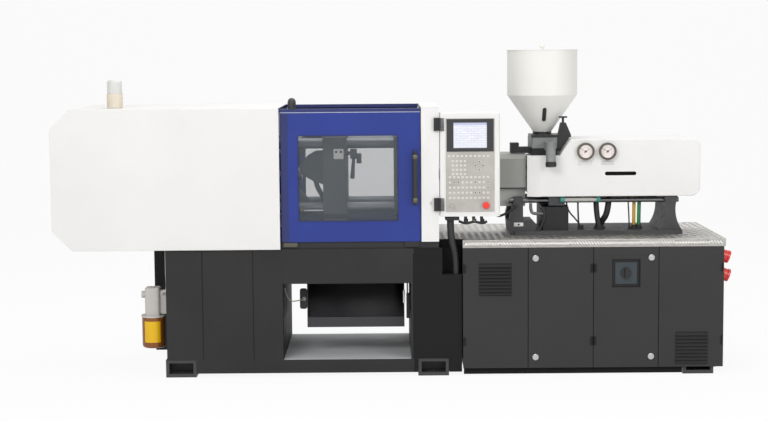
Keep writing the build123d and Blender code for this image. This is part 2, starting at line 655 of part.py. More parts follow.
# Moving platen: slides on the tie bars and on two shoes, with the front pivots of the toggle
with BuildPart() as moving_platen:
    block(MOVING_LEFT, MOVING_RIGHT, -PLATEN_HALF_WIDTH, PLATEN_HALF_WIDTH, PLATEN_BOTTOM,
          CENTRE_Z + PLATEN_HALF)
    chamfer(moving_platen.edges().filter_by(Axis.X), PLATEN_EDGE)
    for side in (-1, 1):
        block(MOVING_LEFT, MOVING_RIGHT, side * (SLIDE_RAIL_Y - SHOE_WIDTH / 2),
              side * (SLIDE_RAIL_Y + SHOE_WIDTH / 2),
              BASE_TOP + SLIDE_RAIL_HEIGHT + RUN_CLEARANCE, PLATEN_BOTTOM)
        pivot_z = CENTRE_Z + side * PIVOT_OFFSET
        inner_half = LINK_HALF_WIDTH - SEAT_CLEARANCE
        block(FRONT_PIVOT_X, MOVING_LEFT, -inner_half, inner_half, pivot_z - PIVOT_RADIUS,
              pivot_z + PIVOT_RADIUS)
        bar("Y", FRONT_PIVOT_X, 0, pivot_z, PIVOT_RADIUS, 2 * inner_half)
    bar("X", MOVING_LEFT - EJECTOR_BOSS_LENGTH / 2, 0, CENTRE_Z, EJECTOR_BOSS_RADIUS, EJECTOR_BOSS_LENGTH)
    bar("X", MOVING_LEFT, 0, CENTRE_Z, EJECTOR_RADIUS + RUN_CLEARANCE, 2 * MOVING_THICKNESS + OVERRUN,
        Mode.SUBTRACT)
    for dy in (-1, 1):
        for dz in (-1, 1):
            bar("X", MOVING_LEFT, dy * TIE_BAR_SPACING / 2, CENTRE_Z + dz * TIE_BAR_SPACING / 2,
                TIE_BAR_RADIUS + RUN_CLEARANCE, 2 * MOVING_THICKNESS + OVERRUN, Mode.SUBTRACT)
            bar("X", MOVING_RIGHT, dy * MOULD_HOLE_SPACING / 2, CENTRE_Z + dz * MOULD_HOLE_SPACING / 2,
                MOULD_HOLE_RADIUS, 2 * MOULD_HOLE_DEPTH, Mode.SUBTRACT)
save(moving_platen, "moving_platen")

# Fixed platen: stands on the base, with the locating bore that the nozzle reaches through
with BuildPart() as fixed_platen:
    block(FIXED_LEFT, FIXED_RIGHT, -PLATEN_HALF_WIDTH, PLATEN_HALF_WIDTH, PLATEN_BOTTOM,
          CENTRE_Z + PLATEN_HALF)
    chamfer(fixed_platen.edges().filter_by(Axis.X), PLATEN_EDGE)
    block(FIXED_LEFT, FIXED_RIGHT, -PLATEN_FOOT_HALF, PLATEN_FOOT_HALF, BASE_TOP, PLATEN_BOTTOM)
    bar("X", FIXED_LEFT, 0, CENTRE_Z, LOCATING_RADIUS, 2 * FIXED_THICKNESS + OVERRUN, Mode.SUBTRACT)
    for dy in (-1, 1):
        for dz in (-1, 1):
            bar("X", FIXED_LEFT, dy * TIE_BAR_SPACING / 2, CENTRE_Z + dz * TIE_BAR_SPACING / 2,
                TIE_BAR_RADIUS + RUN_CLEARANCE, 2 * FIXED_THICKNESS + OVERRUN, Mode.SUBTRACT)
            bar("X", FIXED_LEFT, dy * MOULD_HOLE_SPACING / 2, CENTRE_Z + dz * MOULD_HOLE_SPACING / 2,
                MOULD_HOLE_RADIUS, 2 * MOULD_HOLE_DEPTH, Mode.SUBTRACT)
save(fixed_platen, "fixed_platen")

# Four tie bars, each with its nut outside the fixed platen and the rear platen
with BuildPart() as tie_bars:
    bar_left = REAR_LEFT - TIE_NUT_LENGTH
    bar_right = FIXED_RIGHT + TIE_NUT_LENGTH
    for dy in (-1, 1):
        for dz in (-1, 1):
            bar_y = dy * TIE_BAR_SPACING / 2
            bar_z = CENTRE_Z + dz * TIE_BAR_SPACING / 2
            bar("X", (bar_left + bar_right) / 2, bar_y, bar_z, TIE_BAR_RADIUS, bar_right - bar_left)
            for nut_x in (REAR_LEFT - TIE_NUT_LENGTH / 2, FIXED_RIGHT + TIE_NUT_LENGTH / 2):
                bar("X", nut_x, bar_y, bar_z, TIE_NUT_RADIUS, TIE_NUT_LENGTH)
save(tie_bars, "tie_bars")

# Clamp cylinder: flanged barrel bolted to the back of the rear platen
with BuildPart() as clamp_cylinder:
    bar("X", (CYLINDER_LEFT + REAR_LEFT) / 2, 0, CENTRE_Z, CYLINDER_RADIUS, CYLINDER_LENGTH)
    for flange_x in (REAR_LEFT - CYLINDER_FLANGE / 2, CYLINDER_LEFT + CYLINDER_FLANGE / 2):
        bar("X", flange_x, 0, CENTRE_Z, CYLINDER_FLANGE_RADIUS, CYLINDER_FLANGE)
    bar("X", REAR_LEFT, 0, CENTRE_Z, ROD_RADIUS + RUN_CLEARANCE, 2 * (CYLINDER_LENGTH - CYLINDER_FLANGE),
        Mode.SUBTRACT)
save(clamp_cylinder, "clamp_cylinder")

# Crosshead: forged block on the piston rod, between the upper and lower links
with BuildPart() as crosshead:
    block(REAR_PIVOT_X - CROSSHEAD_HALF_LENGTH, REAR_PIVOT_X + CROSSHEAD_HALF_LENGTH, -CROSSHEAD_HALF_WIDTH,
          CROSSHEAD_HALF_WIDTH, CENTRE_Z - CROSSHEAD_HALF_HEIGHT, CENTRE_Z + CROSSHEAD_HALF_HEIGHT)
    chamfer(crosshead.edges().filter_by(Axis.Y), CROSSHEAD_HALF_HEIGHT / 3)
    bar("X", REAR_PIVOT_X - ROD_LENGTH / 2, 0, CENTRE_Z, ROD_RADIUS, ROD_LENGTH)
save(crosshead, "crosshead")


def link_plate(x0, z0, x1, z1, y_low, y_high):
    """Add a flat link with round ends between two pivots, from one depth to another."""
    length = math.hypot(x1 - x0, z1 - z0)
    slope = math.degrees(math.atan2(z1 - z0, x1 - x0))
    with Locations(Location(((x0 + x1) / 2, (y_low + y_high) / 2, (z0 + z1) / 2), (0, -slope, 0))):
        Box(length, y_high - y_low, 2 * LINK_RADIUS)
    for x, z in ((x0, z0), (x1, z1)):
        bar("Y", x, (y_low + y_high) / 2, z, LINK_RADIUS, y_high - y_low)


def rear_link(side, name):
    """Rear toggle link: one thick plate, bored for the pin of the platen and that of the elbow."""
    pivot_z = CENTRE_Z + side * PIVOT_OFFSET
    elbow_z = CENTRE_Z + side * (PIVOT_OFFSET - LINK_DROP)
    with BuildPart() as link:
        link_plate(REAR_PIVOT_X, pivot_z, ELBOW_X, elbow_z, -LINK_HALF_WIDTH, LINK_HALF_WIDTH)
        for x, z in ((REAR_PIVOT_X, pivot_z), (ELBOW_X, elbow_z)):
            bar("Y", x, 0, z, PIVOT_RADIUS + RUN_CLEARANCE, 2 * LINK_HALF_WIDTH + OVERRUN, Mode.SUBTRACT)
    save(link, name)


def front_link(side, name):
    """Front toggle link: two plates joined by the elbow pin, open where the platen's lug enters."""
    pivot_z = CENTRE_Z + side * PIVOT_OFFSET
    elbow_z = CENTRE_Z + side * (PIVOT_OFFSET - LINK_DROP)
    inner = LINK_HALF_WIDTH + SEAT_CLEARANCE
    with BuildPart() as link:
        for y_low, y_high in ((-inner - LINK_FORK_WIDTH, -inner), (inner, inner + LINK_FORK_WIDTH)):
            link_plate(ELBOW_X, elbow_z, FRONT_PIVOT_X, pivot_z, y_low, y_high)
        bar("Y", ELBOW_X, 0, elbow_z, PIVOT_RADIUS, 2 * (inner + LINK_FORK_WIDTH))
        bar("Y", FRONT_PIVOT_X, 0, pivot_z, PIVOT_RADIUS / 2, 2 * (inner + LINK_FORK_WIDTH) + OVERRUN,
            Mode.SUBTRACT)
    save(link, name)


rear_link(1, "upper_rear_link")
rear_link(-1, "lower_rear_link")
front_link(1, "upper_front_link")
front_link(-1, "lower_front_link")

# Ejector: rod through the moving platen with a round plate behind it
with BuildPart() as ejector:
    rod_left = MOVING_LEFT - EJECTOR_OVERHANG
    rod_right = MOVING_RIGHT - EJECTOR_RECESS
    bar("X", (rod_left + rod_right) / 2, 0, CENTRE_Z, EJECTOR_RADIUS, rod_right - rod_left)
    bar("X", rod_left + EJECTOR_PLATE_LENGTH / 2, 0, CENTRE_Z, EJECTOR_PLATE_RADIUS, EJECTOR_PLATE_LENGTH)
save(ejector, "ejector")


def guard_corners(inset):
    """Corners of the guard as the operator sees it, drawn in by a wall; the two left ones are cut."""
    left = GUARD_LEFT + inset
    low = BASE_TOP + inset
    high = GUARD_TOP - inset
    return [(GUARD_RIGHT, low), (left + GUARD_CHAMFER, low), (left, low + GUARD_CHAMFER),
            (left, high - GUARD_CHAMFER), (left + GUARD_CHAMFER, high), (GUARD_RIGHT, high)]


def guard_panel(side, name):
    """Flat side of the guard with softened outer edges; side is -1 at the front and 1 at the back."""
    with BuildPart() as panel:
        with BuildSketch(front_plane(side * HALF_DEPTH)):
            with BuildLine():
                Polyline(*guard_corners(0), close=True)
            make_face()
        extrude(amount=side * SHEET)
        chamfer(panel.faces().sort_by(Axis.Y)[0 if side < 0 else -1].edges(), GUARD_EDGE)
    save(panel, name)


guard_panel(-1, "clamp_guard_front")
guard_panel(1, "clamp_guard_rear")

# Folded cover between the two guard sides: top, cut corners, left end and the floor of the overhang
with BuildPart() as clamp_guard_cover:
    with BuildSketch(front_plane(HALF_DEPTH - SHEET)):
        with BuildLine():
            Polyline(*guard_corners(0), close=True)
        make_face()
        with BuildLine():
            Polyline(*guard_corners(SHEET), close=True)
        make_face(mode=Mode.SUBTRACT)
    extrude(amount=2 * (HALF_DEPTH - SHEET))
    block(BASE_LEFT + GUARD_FLANGE, GUARD_RIGHT + OVERRUN, -HALF_DEPTH, HALF_DEPTH, BASE_TOP - OVERRUN,
          CENTRE_Z, Mode.SUBTRACT)
save(clamp_guard_cover, "clamp_guard_cover")

# Beacon lamp on the guard: moulded base and clear ribbed lens
beacon_x = GUARD_LEFT + BEACON_OFFSET
with BuildPart() as beacon_base:
    bar("Z", beacon_x, BEACON_Y, GUARD_TOP + BEACON_BASE_HEIGHT / 2, BEACON_RADIUS, BEACON_BASE_HEIGHT)
    fillet(beacon_base.edges().group_by(Axis.Z)[0], BEACON_WAIST)
save(beacon_base, "beacon_base")

lens_bottom = GUARD_TOP + BEACON_BASE_HEIGHT
with BuildPart() as beacon_lens:
    lens_radius = BEACON_RADIUS - SHEET
    bar("Z", beacon_x, BEACON_Y, lens_bottom + BEACON_LENS_HEIGHT / 2, lens_radius, BEACON_LENS_HEIGHT)
    fillet(beacon_lens.edges().group_by(Axis.Z)[-1], BEACON_RADIUS / 3)
    offset(amount=-SHEET, openings=beacon_lens.faces().sort_by(Axis.Z)[0])
save(beacon_lens, "beacon_lens")

# Upper rails and lower tracks of the front and rear doors
with BuildPart() as door_rails:
    track_left = BASE_LEFT + GUARD_FLANGE + SEAT_CLEARANCE
    rail_bottom = DOOR_TOP + RUN_CLEARANCE
    for side in (-1, 1):
        track_front = side * (HALF_DEPTH - DOOR_INSET - ROLLER_DEPTH - SEAT_CLEARANCE)
        block(track_left, POST_RIGHT, track_front, track_front - side * TRACK_DEPTH, BASE_TOP, TRACK_TOP)
        rail_front = side * (HALF_DEPTH - DOOR_INSET)
        block(GUARD_LEFT + GUARD_CHAMFER, POST_LEFT, rail_front, rail_front - side * TOP_RAIL_DEPTH,
              rail_bottom,
              rail_bottom + TOP_RAIL_HEIGHT)
save(door_rails, "door_rails")

# Black cable arch beside the guard, standing on the upper rail
with BuildPart() as cable_arch:
    arch_x = GUARD_RIGHT + ARCH_OFFSET
    arch_y = -HALF_DEPTH + DOOR_INSET + TOP_RAIL_DEPTH / 2
    arch_z = DOOR_TOP + RUN_CLEARANCE + TOP_RAIL_HEIGHT
    with BuildLine() as arch_path:
        Line((arch_x - ARCH_RADIUS, arch_y, arch_z), (arch_x - ARCH_RADIUS, arch_y, arch_z + ARCH_RISE))
        ThreePointArc((arch_x - ARCH_RADIUS, arch_y, arch_z + ARCH_RISE),
                      (arch_x, arch_y, arch_z + ARCH_RISE + ARCH_RADIUS),
                      (arch_x + ARCH_RADIUS, arch_y, arch_z + ARCH_RISE))
        Line((arch_x + ARCH_RADIUS, arch_y, arch_z + ARCH_RISE), (arch_x + ARCH_RADIUS, arch_y, arch_z))
    with BuildSketch(Plane((arch_x - ARCH_RADIUS, arch_y, arch_z))):
        Circle(ARCH_TUBE_RADIUS)
    sweep()
save(cable_arch, "cable_arch")


def sliding_door(side, name):
    """Folded door pan with a window cut-out and two roller blocks; side is -1 at the front."""
    face_y = side * (HALF_DEPTH - DOOR_INSET)
    back_y = face_y - side * DOOR_DEPTH
    inner_y = face_y - side * DOOR_SHEET
    pane_right = DOOR_RIGHT - PANE_RIGHT_MARGIN
    pane_low = DOOR_BOTTOM + PANE_BOTTOM_MARGIN
    with BuildPart() as door:
        block(DOOR_LEFT, DOOR_RIGHT, face_y, back_y, DOOR_BOTTOM, DOOR_TOP)
        chamfer(door.faces().sort_by(Axis.Y)[0 if side < 0 else -1].edges(), GUARD_EDGE)
        block(DOOR_LEFT + DOOR_SHEET, DOOR_RIGHT - DOOR_SHEET, inner_y, back_y - side * OVERRUN,
              DOOR_BOTTOM + DOOR_SHEET, DOOR_TOP - DOOR_SHEET, Mode.SUBTRACT)
        block(pane_right - PANE_LENGTH, pane_right, face_y + side * OVERRUN, back_y,
              pane_low, pane_low + PANE_HEIGHT, Mode.SUBTRACT)
        for roller_left in (DOOR_LEFT + ROLLER_MARGIN, DOOR_RIGHT - ROLLER_MARGIN - ROLLER_LENGTH):
            block(roller_left, roller_left + ROLLER_LENGTH, face_y, face_y - side * ROLLER_DEPTH,
                  DOOR_BOTTOM - ROLLER_DROP, DOOR_BOTTOM)
    save(door, name)


def door_pane(side, name):
    """Clear pane held against the inner face of the door sheet, a little larger than its cut-out."""
    inner_y = side * (HALF_DEPTH - DOOR_INSET - DOOR_SHEET)
    pane_right = DOOR_RIGHT - PANE_RIGHT_MARGIN + PANE_OVERLAP
    pane_low = DOOR_BOTTOM + PANE_BOTTOM_MARGIN - PANE_OVERLAP
    with BuildPart() as pane:
        block(pane_right - PANE_LENGTH - 2 * PANE_OVERLAP, pane_right, inner_y,
              inner_y - side * PANE_THICKNESS,
              pane_low, pane_low + PANE_HEIGHT + 2 * PANE_OVERLAP)
    save(pane, name)


sliding_door(-1, "front_door")
sliding_door(1, "rear_door")
door_pane(-1, "front_door_window")
door_pane(1, "rear_door_window")

# Bar handle of the front door on two stand-offs
with BuildPart() as front_door_handle:
    handle_x = DOOR_RIGHT - HANDLE_RIGHT_MARGIN
    handle_low = DOOR_BOTTOM + HANDLE_BOTTOM_MARGIN
    handle_y = DOOR_FRONT - HANDLE_REACH + HANDLE_RADIUS
    bar("Z", handle_x, handle_y, handle_low + HANDLE_LENGTH / 2, HANDLE_RADIUS, HANDLE_LENGTH)
    fillet(front_door_handle.edges(), HANDLE_RADIUS / 2)
    for stand_z in (handle_low + 2 * HANDLE_RADIUS, handle_low + HANDLE_LENGTH - 2 * HANDLE_RADIUS):
        bar("Y", handle_x, (handle_y + DOOR_FRONT) / 2, stand_z, HANDLE_STAND_RADIUS, DOOR_FRONT - handle_y)
save(front_door_handle, "front_door_handle")

# White posts: channels open to the inside, standing on the tracks, with the two hinges at the front
hinge_x = POST_RIGHT + BOX_HINGE_OFFSET
hinge_y = -HALF_DEPTH - BOX_HINGE_THICKNESS
with BuildPart() as platen_covers:
    for side in (-1, 1):
        face_y = side * HALF_DEPTH
        back_y = face_y - side * POST_DEPTH
        block(POST_LEFT, POST_RIGHT, face_y, back_y, TRACK_TOP, POST_TOP)
        block(POST_LEFT + SHEET, POST_RIGHT - SHEET, face_y - side * SHEET, back_y - side * OVERRUN,
              TRACK_TOP - OVERRUN, POST_TOP - SHEET, Mode.SUBTRACT)
    for hinge_low in (CONTROL_BOTTOM + BOX_HINGE_BOTTOM_MARGIN,
                      CONTROL_TOP - BOX_HINGE_TOP_MARGIN - BOX_HINGE_LENGTH):
        block(POST_RIGHT - BOX_HINGE_LEAF, POST_RIGHT, hinge_y, -HALF_DEPTH, hinge_low,
              hinge_low + BOX_HINGE_LENGTH)
        bar("Z", hinge_x, hinge_y, hinge_low + BOX_HINGE_LENGTH / 2, BOX_HINGE_RADIUS, BOX_HINGE_LENGTH)
save(platen_covers, "platen_covers")

# Control box with its gland plate, cable glands and its halves of the hinges
with BuildPart() as control_box:
    block(CONTROL_LEFT, CONTROL_RIGHT, CONTROL_FRONT, CONTROL_FRONT + CONTROL_DEPTH, CONTROL_BOTTOM,
          CONTROL_TOP)
    fillet(control_box.edges().filter_by(Axis.Z), CONTROL_EDGE)
    fillet(control_box.edges().group_by(Axis.Z)[-1], CONTROL_EDGE / 2)
    for hinge_low in (CONTROL_BOTTOM + BOX_HINGE_BOTTOM_MARGIN,
                      CONTROL_TOP - BOX_HINGE_TOP_MARGIN - BOX_HINGE_LENGTH):
        leaf_left = hinge_x + BOX_HINGE_RADIUS + SEAT_CLEARANCE
        block(leaf_left, hinge_x + BOX_HINGE_LEAF, hinge_y, CONTROL_FRONT + CONTROL_EDGE, hinge_low,
              hinge_low + BOX_HINGE_LENGTH)
    gland_y = CONTROL_FRONT + CONTROL_DEPTH / 2
    block(CONTROL_LEFT + CONTROL_EDGE, CONTROL_RIGHT - CONTROL_EDGE, gland_y - GLAND_PLATE_WIDTH / 2,
          gland_y + GLAND_PLATE_WIDTH / 2, CONTROL_BOTTOM - SHEET, CONTROL_BOTTOM)
    for share in GLAND_SHARES:
        gland_x = CONTROL_LEFT + share * (CONTROL_RIGHT - CONTROL_LEFT)
        bar("Z", gland_x, gland_y, CONTROL_BOTTOM - SHEET - GLAND_LENGTH / 2, GLAND_RADIUS, GLAND_LENGTH)
    conduit_x = CONTROL_LEFT + CONDUIT_GLAND_SHARE * (CONTROL_RIGHT - CONTROL_LEFT)
    bar("Z", conduit_x, gland_y, CONTROL_BOTTOM - SHEET - GLAND_LENGTH / 2, CONDUIT_RADIUS + SHEET,
        GLAND_LENGTH)
    for hole_x in (STOP_X, KEY_SWITCH_X):
        bar("Y", hole_x, CONTROL_FRONT, STOP_Z, STOP_STEM_RADIUS + RUN_CLEARANCE, 2 * (2 * STOP_DEPTH),
            Mode.SUBTRACT)
save(control_box, "control_box")


def fascia_place(x_share, z_share, rise):
    """Place on the fascia's face, given as shares of its length and height, turned to stand out of it."""
    return Location((FASCIA_LEFT + x_share * FASCIA_LENGTH, CONTROL_FRONT - SHEET - rise / 2,
                     FASCIA_LOW + z_share * FASCIA_HEIGHT), (90, 0, 0))


# Membrane fascia with the raised screen bezel, the recessed display and rows of key pads
with BuildPart() as control_fascia:
    block(FASCIA_LEFT, FASCIA_RIGHT, CONTROL_FRONT - SHEET, CONTROL_FRONT, FASCIA_LOW, FASCIA_HIGH)
    fascia_x = (FASCIA_LEFT + FASCIA_RIGHT) / 2
    bezel_high = FASCIA_HIGH - SHEET
    block(fascia_x - BEZEL_LENGTH / 2, fascia_x + BEZEL_LENGTH / 2, CONTROL_FRONT - 2 * SHEET,
          CONTROL_FRONT, bezel_high - BEZEL_HEIGHT, bezel_high)
    screen_z = bezel_high - BEZEL_HEIGHT / 2
    block(fascia_x - SCREEN_LENGTH / 2, fascia_x + SCREEN_LENGTH / 2, CONTROL_FRONT - 2 * SHEET - OVERRUN,
          CONTROL_FRONT - SHEET, screen_z - SCREEN_HEIGHT / 2, screen_z + SCREEN_HEIGHT / 2, Mode.SUBTRACT)
    key_rise = SHEET / 2
    for field_shares, (columns, rows) in zip(KEY_FIELD_SHARES, KEY_FIELD_COUNT):
        x_step = field_shares[2] * FASCIA_LENGTH / max(columns - 1, 1)
        z_step = field_shares[3] * FASCIA_HEIGHT / max(rows - 1, 1)
        with Locations(fascia_place(field_shares[0], field_shares[1], key_rise)):
            with GridLocations(x_step, z_step, columns, rows):
                Box(KEY_LENGTH, KEY_HEIGHT, key_rise)
    with Locations(fascia_place(ARROW_FIELD_SHARES[0], ARROW_FIELD_SHARES[1], key_rise)):
        with PolarLocations(ARROW_RADIUS, ARROW_COUNT, rotate=False):
            Box(KEY_LENGTH, KEY_HEIGHT, key_rise)
    for hole_x in (STOP_X, KEY_SWITCH_X):
        bar("Y", hole_x, CONTROL_FRONT, STOP_Z, STOP_STEM_RADIUS + RUN_CLEARANCE, OVERRUN, Mode.SUBTRACT)
save(control_fascia, "control_fascia")

# Emergency stop: mushroom head on a stem that travels into the box
with BuildPart() as emergency_stop:
    stem_back = CONTROL_FRONT + STOP_DEPTH
    head_back = CONTROL_FRONT - SHEET - STOP_TRAVEL - STOP_GAP
    bar("Y", STOP_X, head_back - STOP_HEAD / 2, STOP_Z, STOP_RADIUS, STOP_HEAD)
    fillet(emergency_stop.edges().group_by(Axis.Y)[0], STOP_HEAD / 2)
    bar("Y", STOP_X, (stem_back + head_back) / 2, STOP_Z, STOP_STEM_RADIUS, stem_back - head_back)
save(emergency_stop, "emergency_stop")

# Key switch: round barrel in the box with a flat bow
with BuildPart() as key_switch:
    barrel_back = CONTROL_FRONT + STOP_DEPTH
    barrel_front = CONTROL_FRONT - SHEET - STOP_GAP
    bar("Y", KEY_SWITCH_X, (barrel_back + barrel_front) / 2, STOP_Z, STOP_STEM_RADIUS,
        barrel_back - barrel_front)
    block(KEY_SWITCH_X - KEY_BOW / 8, KEY_SWITCH_X + KEY_BOW / 8, barrel_front - KEY_SWITCH_LENGTH,
          barrel_front, STOP_Z - KEY_BOW / 2, STOP_Z + KEY_BOW / 2)
save(key_switch, "key_switch")

# Black conduit from the control box down into the cable niche of the base
with BuildPart() as control_conduit:
    corner_radii = []
    for before, corner, after in zip(CONDUIT_ROUTE, CONDUIT_ROUTE[1:], CONDUIT_ROUTE[2:]):
        run_in = Vector(*corner) - Vector(*before)
        run_out = Vector(*after) - Vector(*corner)
        turn = math.radians(run_in.get_angle(run_out))
        corner_radii.append(CONDUIT_RUN_SHARE * min(run_in.length, run_out.length) / math.tan(turn / 2))
    print("conduit radii", [round(radius) for radius in corner_radii])
    with BuildLine():
        conduit_line = FilletPolyline(*CONDUIT_ROUTE, radius=corner_radii)
    with BuildSketch(Plane(conduit_line @ 0, z_dir=conduit_line % 0)):
        Circle(CONDUIT_RADIUS)
    sweep()
    conduit_volume = math.pi * CONDUIT_RADIUS**2 * conduit_line.length
    print("conduit length", round(conduit_line.length), "volume ratio",
          round(control_conduit.part.volume / conduit_volume, 3))
save(control_conduit, "control_conduit")


def cabinet_hollow(left, right):
    """Cut one compartment of the cabinet, open to the front."""
    block(left, right, -BASE_HALF - OVERRUN, BASE_HALF - CABINET_WALL, FOOT_HEIGHT + CABINET_WALL,
          CABINET_TOP - CABINET_WALL, Mode.SUBTRACT)


# Cabinet: sheet box with two compartments, on a plinth set back under it
with BuildPart() as cabinet_frame:
    frame_front = -BASE_HALF + DOOR_GAP
    block(CABINET_LEFT, CABINET_RIGHT, frame_front, BASE_HALF, FOOT_HEIGHT, CABINET_TOP)
    cabinet_hollow(CABINET_LEFT + CABINET_WALL, PARTITION_X - CABINET_WALL / 2)
    cabinet_hollow(PARTITION_X + CABINET_WALL / 2, CABINET_RIGHT - CABINET_WALL)
    plinth_half = FOOT_FACE - FOOT_WIDTH - PLINTH_INSET
    block(CABINET_LEFT + PLINTH_INSET, CABINET_RIGHT - PLINTH_INSET, -plinth_half, plinth_half,
          PLINTH_INSET, FOOT_HEIGHT)
save(cabinet_frame, "cabinet_frame")

# Tread plate: folded tray over the cabinet, notched at its front left corner for the conduit
with BuildPart() as tread_plate:
    tread_right = CABINET_RIGHT + TREAD_OVERHANG
    with BuildSketch(Plane.XY.offset(CABINET_TOP)):
        with BuildLine():
            Polyline((POST_RIGHT + SEAT_CLEARANCE, HALF_DEPTH), (tread_right, HALF_DEPTH),
                     (tread_right, -HALF_DEPTH), (CABINET_LEFT, -HALF_DEPTH),
                     (CABINET_LEFT, -HALF_DEPTH + NOTCH_DEPTH),
                     (POST_RIGHT + SEAT_CLEARANCE, -HALF_DEPTH + NOTCH_DEPTH), close=True)
        make_face()
    extrude(amount=TREAD_HEIGHT)
    fillet(tread_plate.edges().group_by(Axis.Z)[-1], TREAD_EDGE)
    offset(amount=-TREAD_WALL, openings=tread_plate.faces().sort_by(Axis.Z)[0])
save(tread_plate, "tread_plate")


def louvre_hood(left):
    """One pressed louvre hood: a sloped ridge as long as the vent, lying at the origin's height."""
    with BuildPart() as hood:
        with BuildSketch(Plane.YZ.offset(left)):
            with BuildLine():
                Polyline((0, 0), (-LOUVRE_RISE, 0), (0, LOUVRE_SHARE * VENT_HEIGHT / LOUVRE_COUNT),
                         close=True)
            make_face()
        extrude(amount=VENT_LENGTH)
    return hood.part


def cabinet_door(name, left, right, hinge_side, vent=None, latch_side=None, switch=False):
    """Folded door pan with hinge barrels, and where asked louvres, latch holes or a switch recess."""
    low = CABINET_DOOR_BOTTOM
    high = CABINET_TOP
    back = -BASE_HALF
    door_left = left + DOOR_GAP / 2
    door_right = right - DOOR_GAP / 2
    inner = -HALF_DEPTH + SHEET
    hood = louvre_hood(vent[0]) if vent else None
    with BuildPart() as door:
        block(door_left, door_right, -HALF_DEPTH, back, low, high)
        chamfer(door.faces().sort_by(Axis.Y)[0].edges(), GUARD_EDGE / 2)
        block(door_left + SHEET, door_right - SHEET, inner, back + OVERRUN, low + SHEET, high - SHEET,
              Mode.SUBTRACT)
        edge = door_left if hinge_side < 0 else door_right
        axis_x = edge - hinge_side * DOOR_HINGE_INSET
        for share in DOOR_HINGE_SHARES:
            hinge_z = low + share * (high - low)
            bar("Z", axis_x, -HALF_DEPTH - DOOR_HINGE_PROUD, hinge_z, DOOR_HINGE_RADIUS, DOOR_HINGE_LENGTH)
        if vent:
            vent_left, vent_low = vent
            for row in range(LOUVRE_COUNT):
                row_z = vent_low + row * VENT_HEIGHT / LOUVRE_COUNT
                with Locations((0, -HALF_DEPTH, row_z)):
                    add(hood)
                block(vent_left + SHEET, vent_left + VENT_LENGTH - SHEET, -HALF_DEPTH - LOUVRE_RISE / 2,
                      inner + SHEET, row_z - SHEET, row_z, Mode.SUBTRACT)
        if latch_side:
            for latch_x, latch_z in latch_places(latch_side):
                bar("Y", latch_x, -HALF_DEPTH, latch_z, LATCH_SHAFT_RADIUS + RUN_CLEARANCE, OVERRUN,
                    Mode.SUBTRACT)
        if switch:
            block(SWITCH_X - SWITCH_RECESS / 2, SWITCH_X + SWITCH_RECESS / 2, -HALF_DEPTH, back - SHEET,
                  SWITCH_Z - SWITCH_RECESS / 2, SWITCH_Z + SWITCH_RECESS / 2)
            half = SWITCH_RECESS / 2 - SHEET
            block(SWITCH_X - half, SWITCH_X + half, -HALF_DEPTH - OVERRUN, -HALF_DEPTH + SWITCH_DEPTH,
                  SWITCH_Z - half, SWITCH_Z + half, Mode.SUBTRACT)
            plate = SWITCH_PLATE / 2
            block(SWITCH_X - plate, SWITCH_X + plate, -HALF_DEPTH + SWITCH_DEPTH - SHEET,
                  -HALF_DEPTH + SWITCH_DEPTH, SWITCH_Z - plate, SWITCH_Z + plate)
            bar("Y", SWITCH_X, -HALF_DEPTH, SWITCH_Z, SWITCH_SHAFT_RADIUS + RUN_CLEARANCE, OVERRUN,
                Mode.SUBTRACT)
    save(door, name)


def latch_places(side):
    """Upper and lower latch of a middle door; side is -1 for door 2 and 1 for door 3."""
    x = PARTITION_X + side * (DOOR_SPLIT - LATCH_EDGE)
    return [(x, CABINET_TOP - LATCH_MARGIN), (x, CABINET_DOOR_BOTTOM + LATCH_MARGIN)]


def door_latch(x, z, name):
    """Quarter-turn latch: slotted head on the door, shaft through it and a short cam inside the pan."""
    inner = -HALF_DEPTH + SHEET
    with BuildPart() as latch:
        bar("Y", x, -HALF_DEPTH - RUN_CLEARANCE - LATCH_HEAD / 2, z, LATCH_RADIUS, LATCH_HEAD)
        chamfer(latch.edges().group_by(Axis.Y)[0], LATCH_HEAD / 3)
        block(x - LATCH_RADIUS / 2, x + LATCH_RADIUS / 2, -HALF_DEPTH - LATCH_HEAD - SHEET,
              -HALF_DEPTH - LATCH_HEAD / 2, z - SHEET / 2, z + SHEET / 2, Mode.SUBTRACT)
        bar("Y", x, -HALF_DEPTH + LATCH_LENGTH / 2 - RUN_CLEARANCE, z, LATCH_SHAFT_RADIUS, LATCH_LENGTH)
        block(x - LATCH_SHAFT_RADIUS, x + LATCH_SHAFT_RADIUS, inner + SEAT_CLEARANCE,
              inner + SEAT_CLEARANCE + SHEET, z - LATCH_SHAFT_RADIUS, z + LATCH_CAM)
    save(latch, name)


door_lines = (CABINET_LEFT, CABINET_LEFT + DOOR_SPLIT, PARTITION_X, CABINET_RIGHT - DOOR_SPLIT,
              CABINET_RIGHT)
vent_1 = (CABINET_LEFT + VENT_1_LEFT_MARGIN, CABINET_TOP - VENT_1_TOP_MARGIN - VENT_HEIGHT)
vent_4 = (CABINET_RIGHT - VENT_4_RIGHT_MARGIN - VENT_LENGTH, CABINET_DOOR_BOTTOM + VENT_4_BOTTOM_MARGIN)
cabinet_door("cabinet_door_1", door_lines[0], door_lines[1], -1, vent=vent_1)
cabinet_door("cabinet_door_2", door_lines[1], door_lines[2], 1, latch_side=-1)
cabinet_door("cabinet_door_3", door_lines[2], door_lines[3], -1, latch_side=1, switch=True)
cabinet_door("cabinet_door_4", door_lines[3], door_lines[4], 1, vent=vent_4)
for side, first in ((-1, 1), (1, 3)):
    for number, (latch_x, latch_z) in enumerate(latch_places(side), first):
        door_latch(latch_x, latch_z, f"door_latch_{number}")

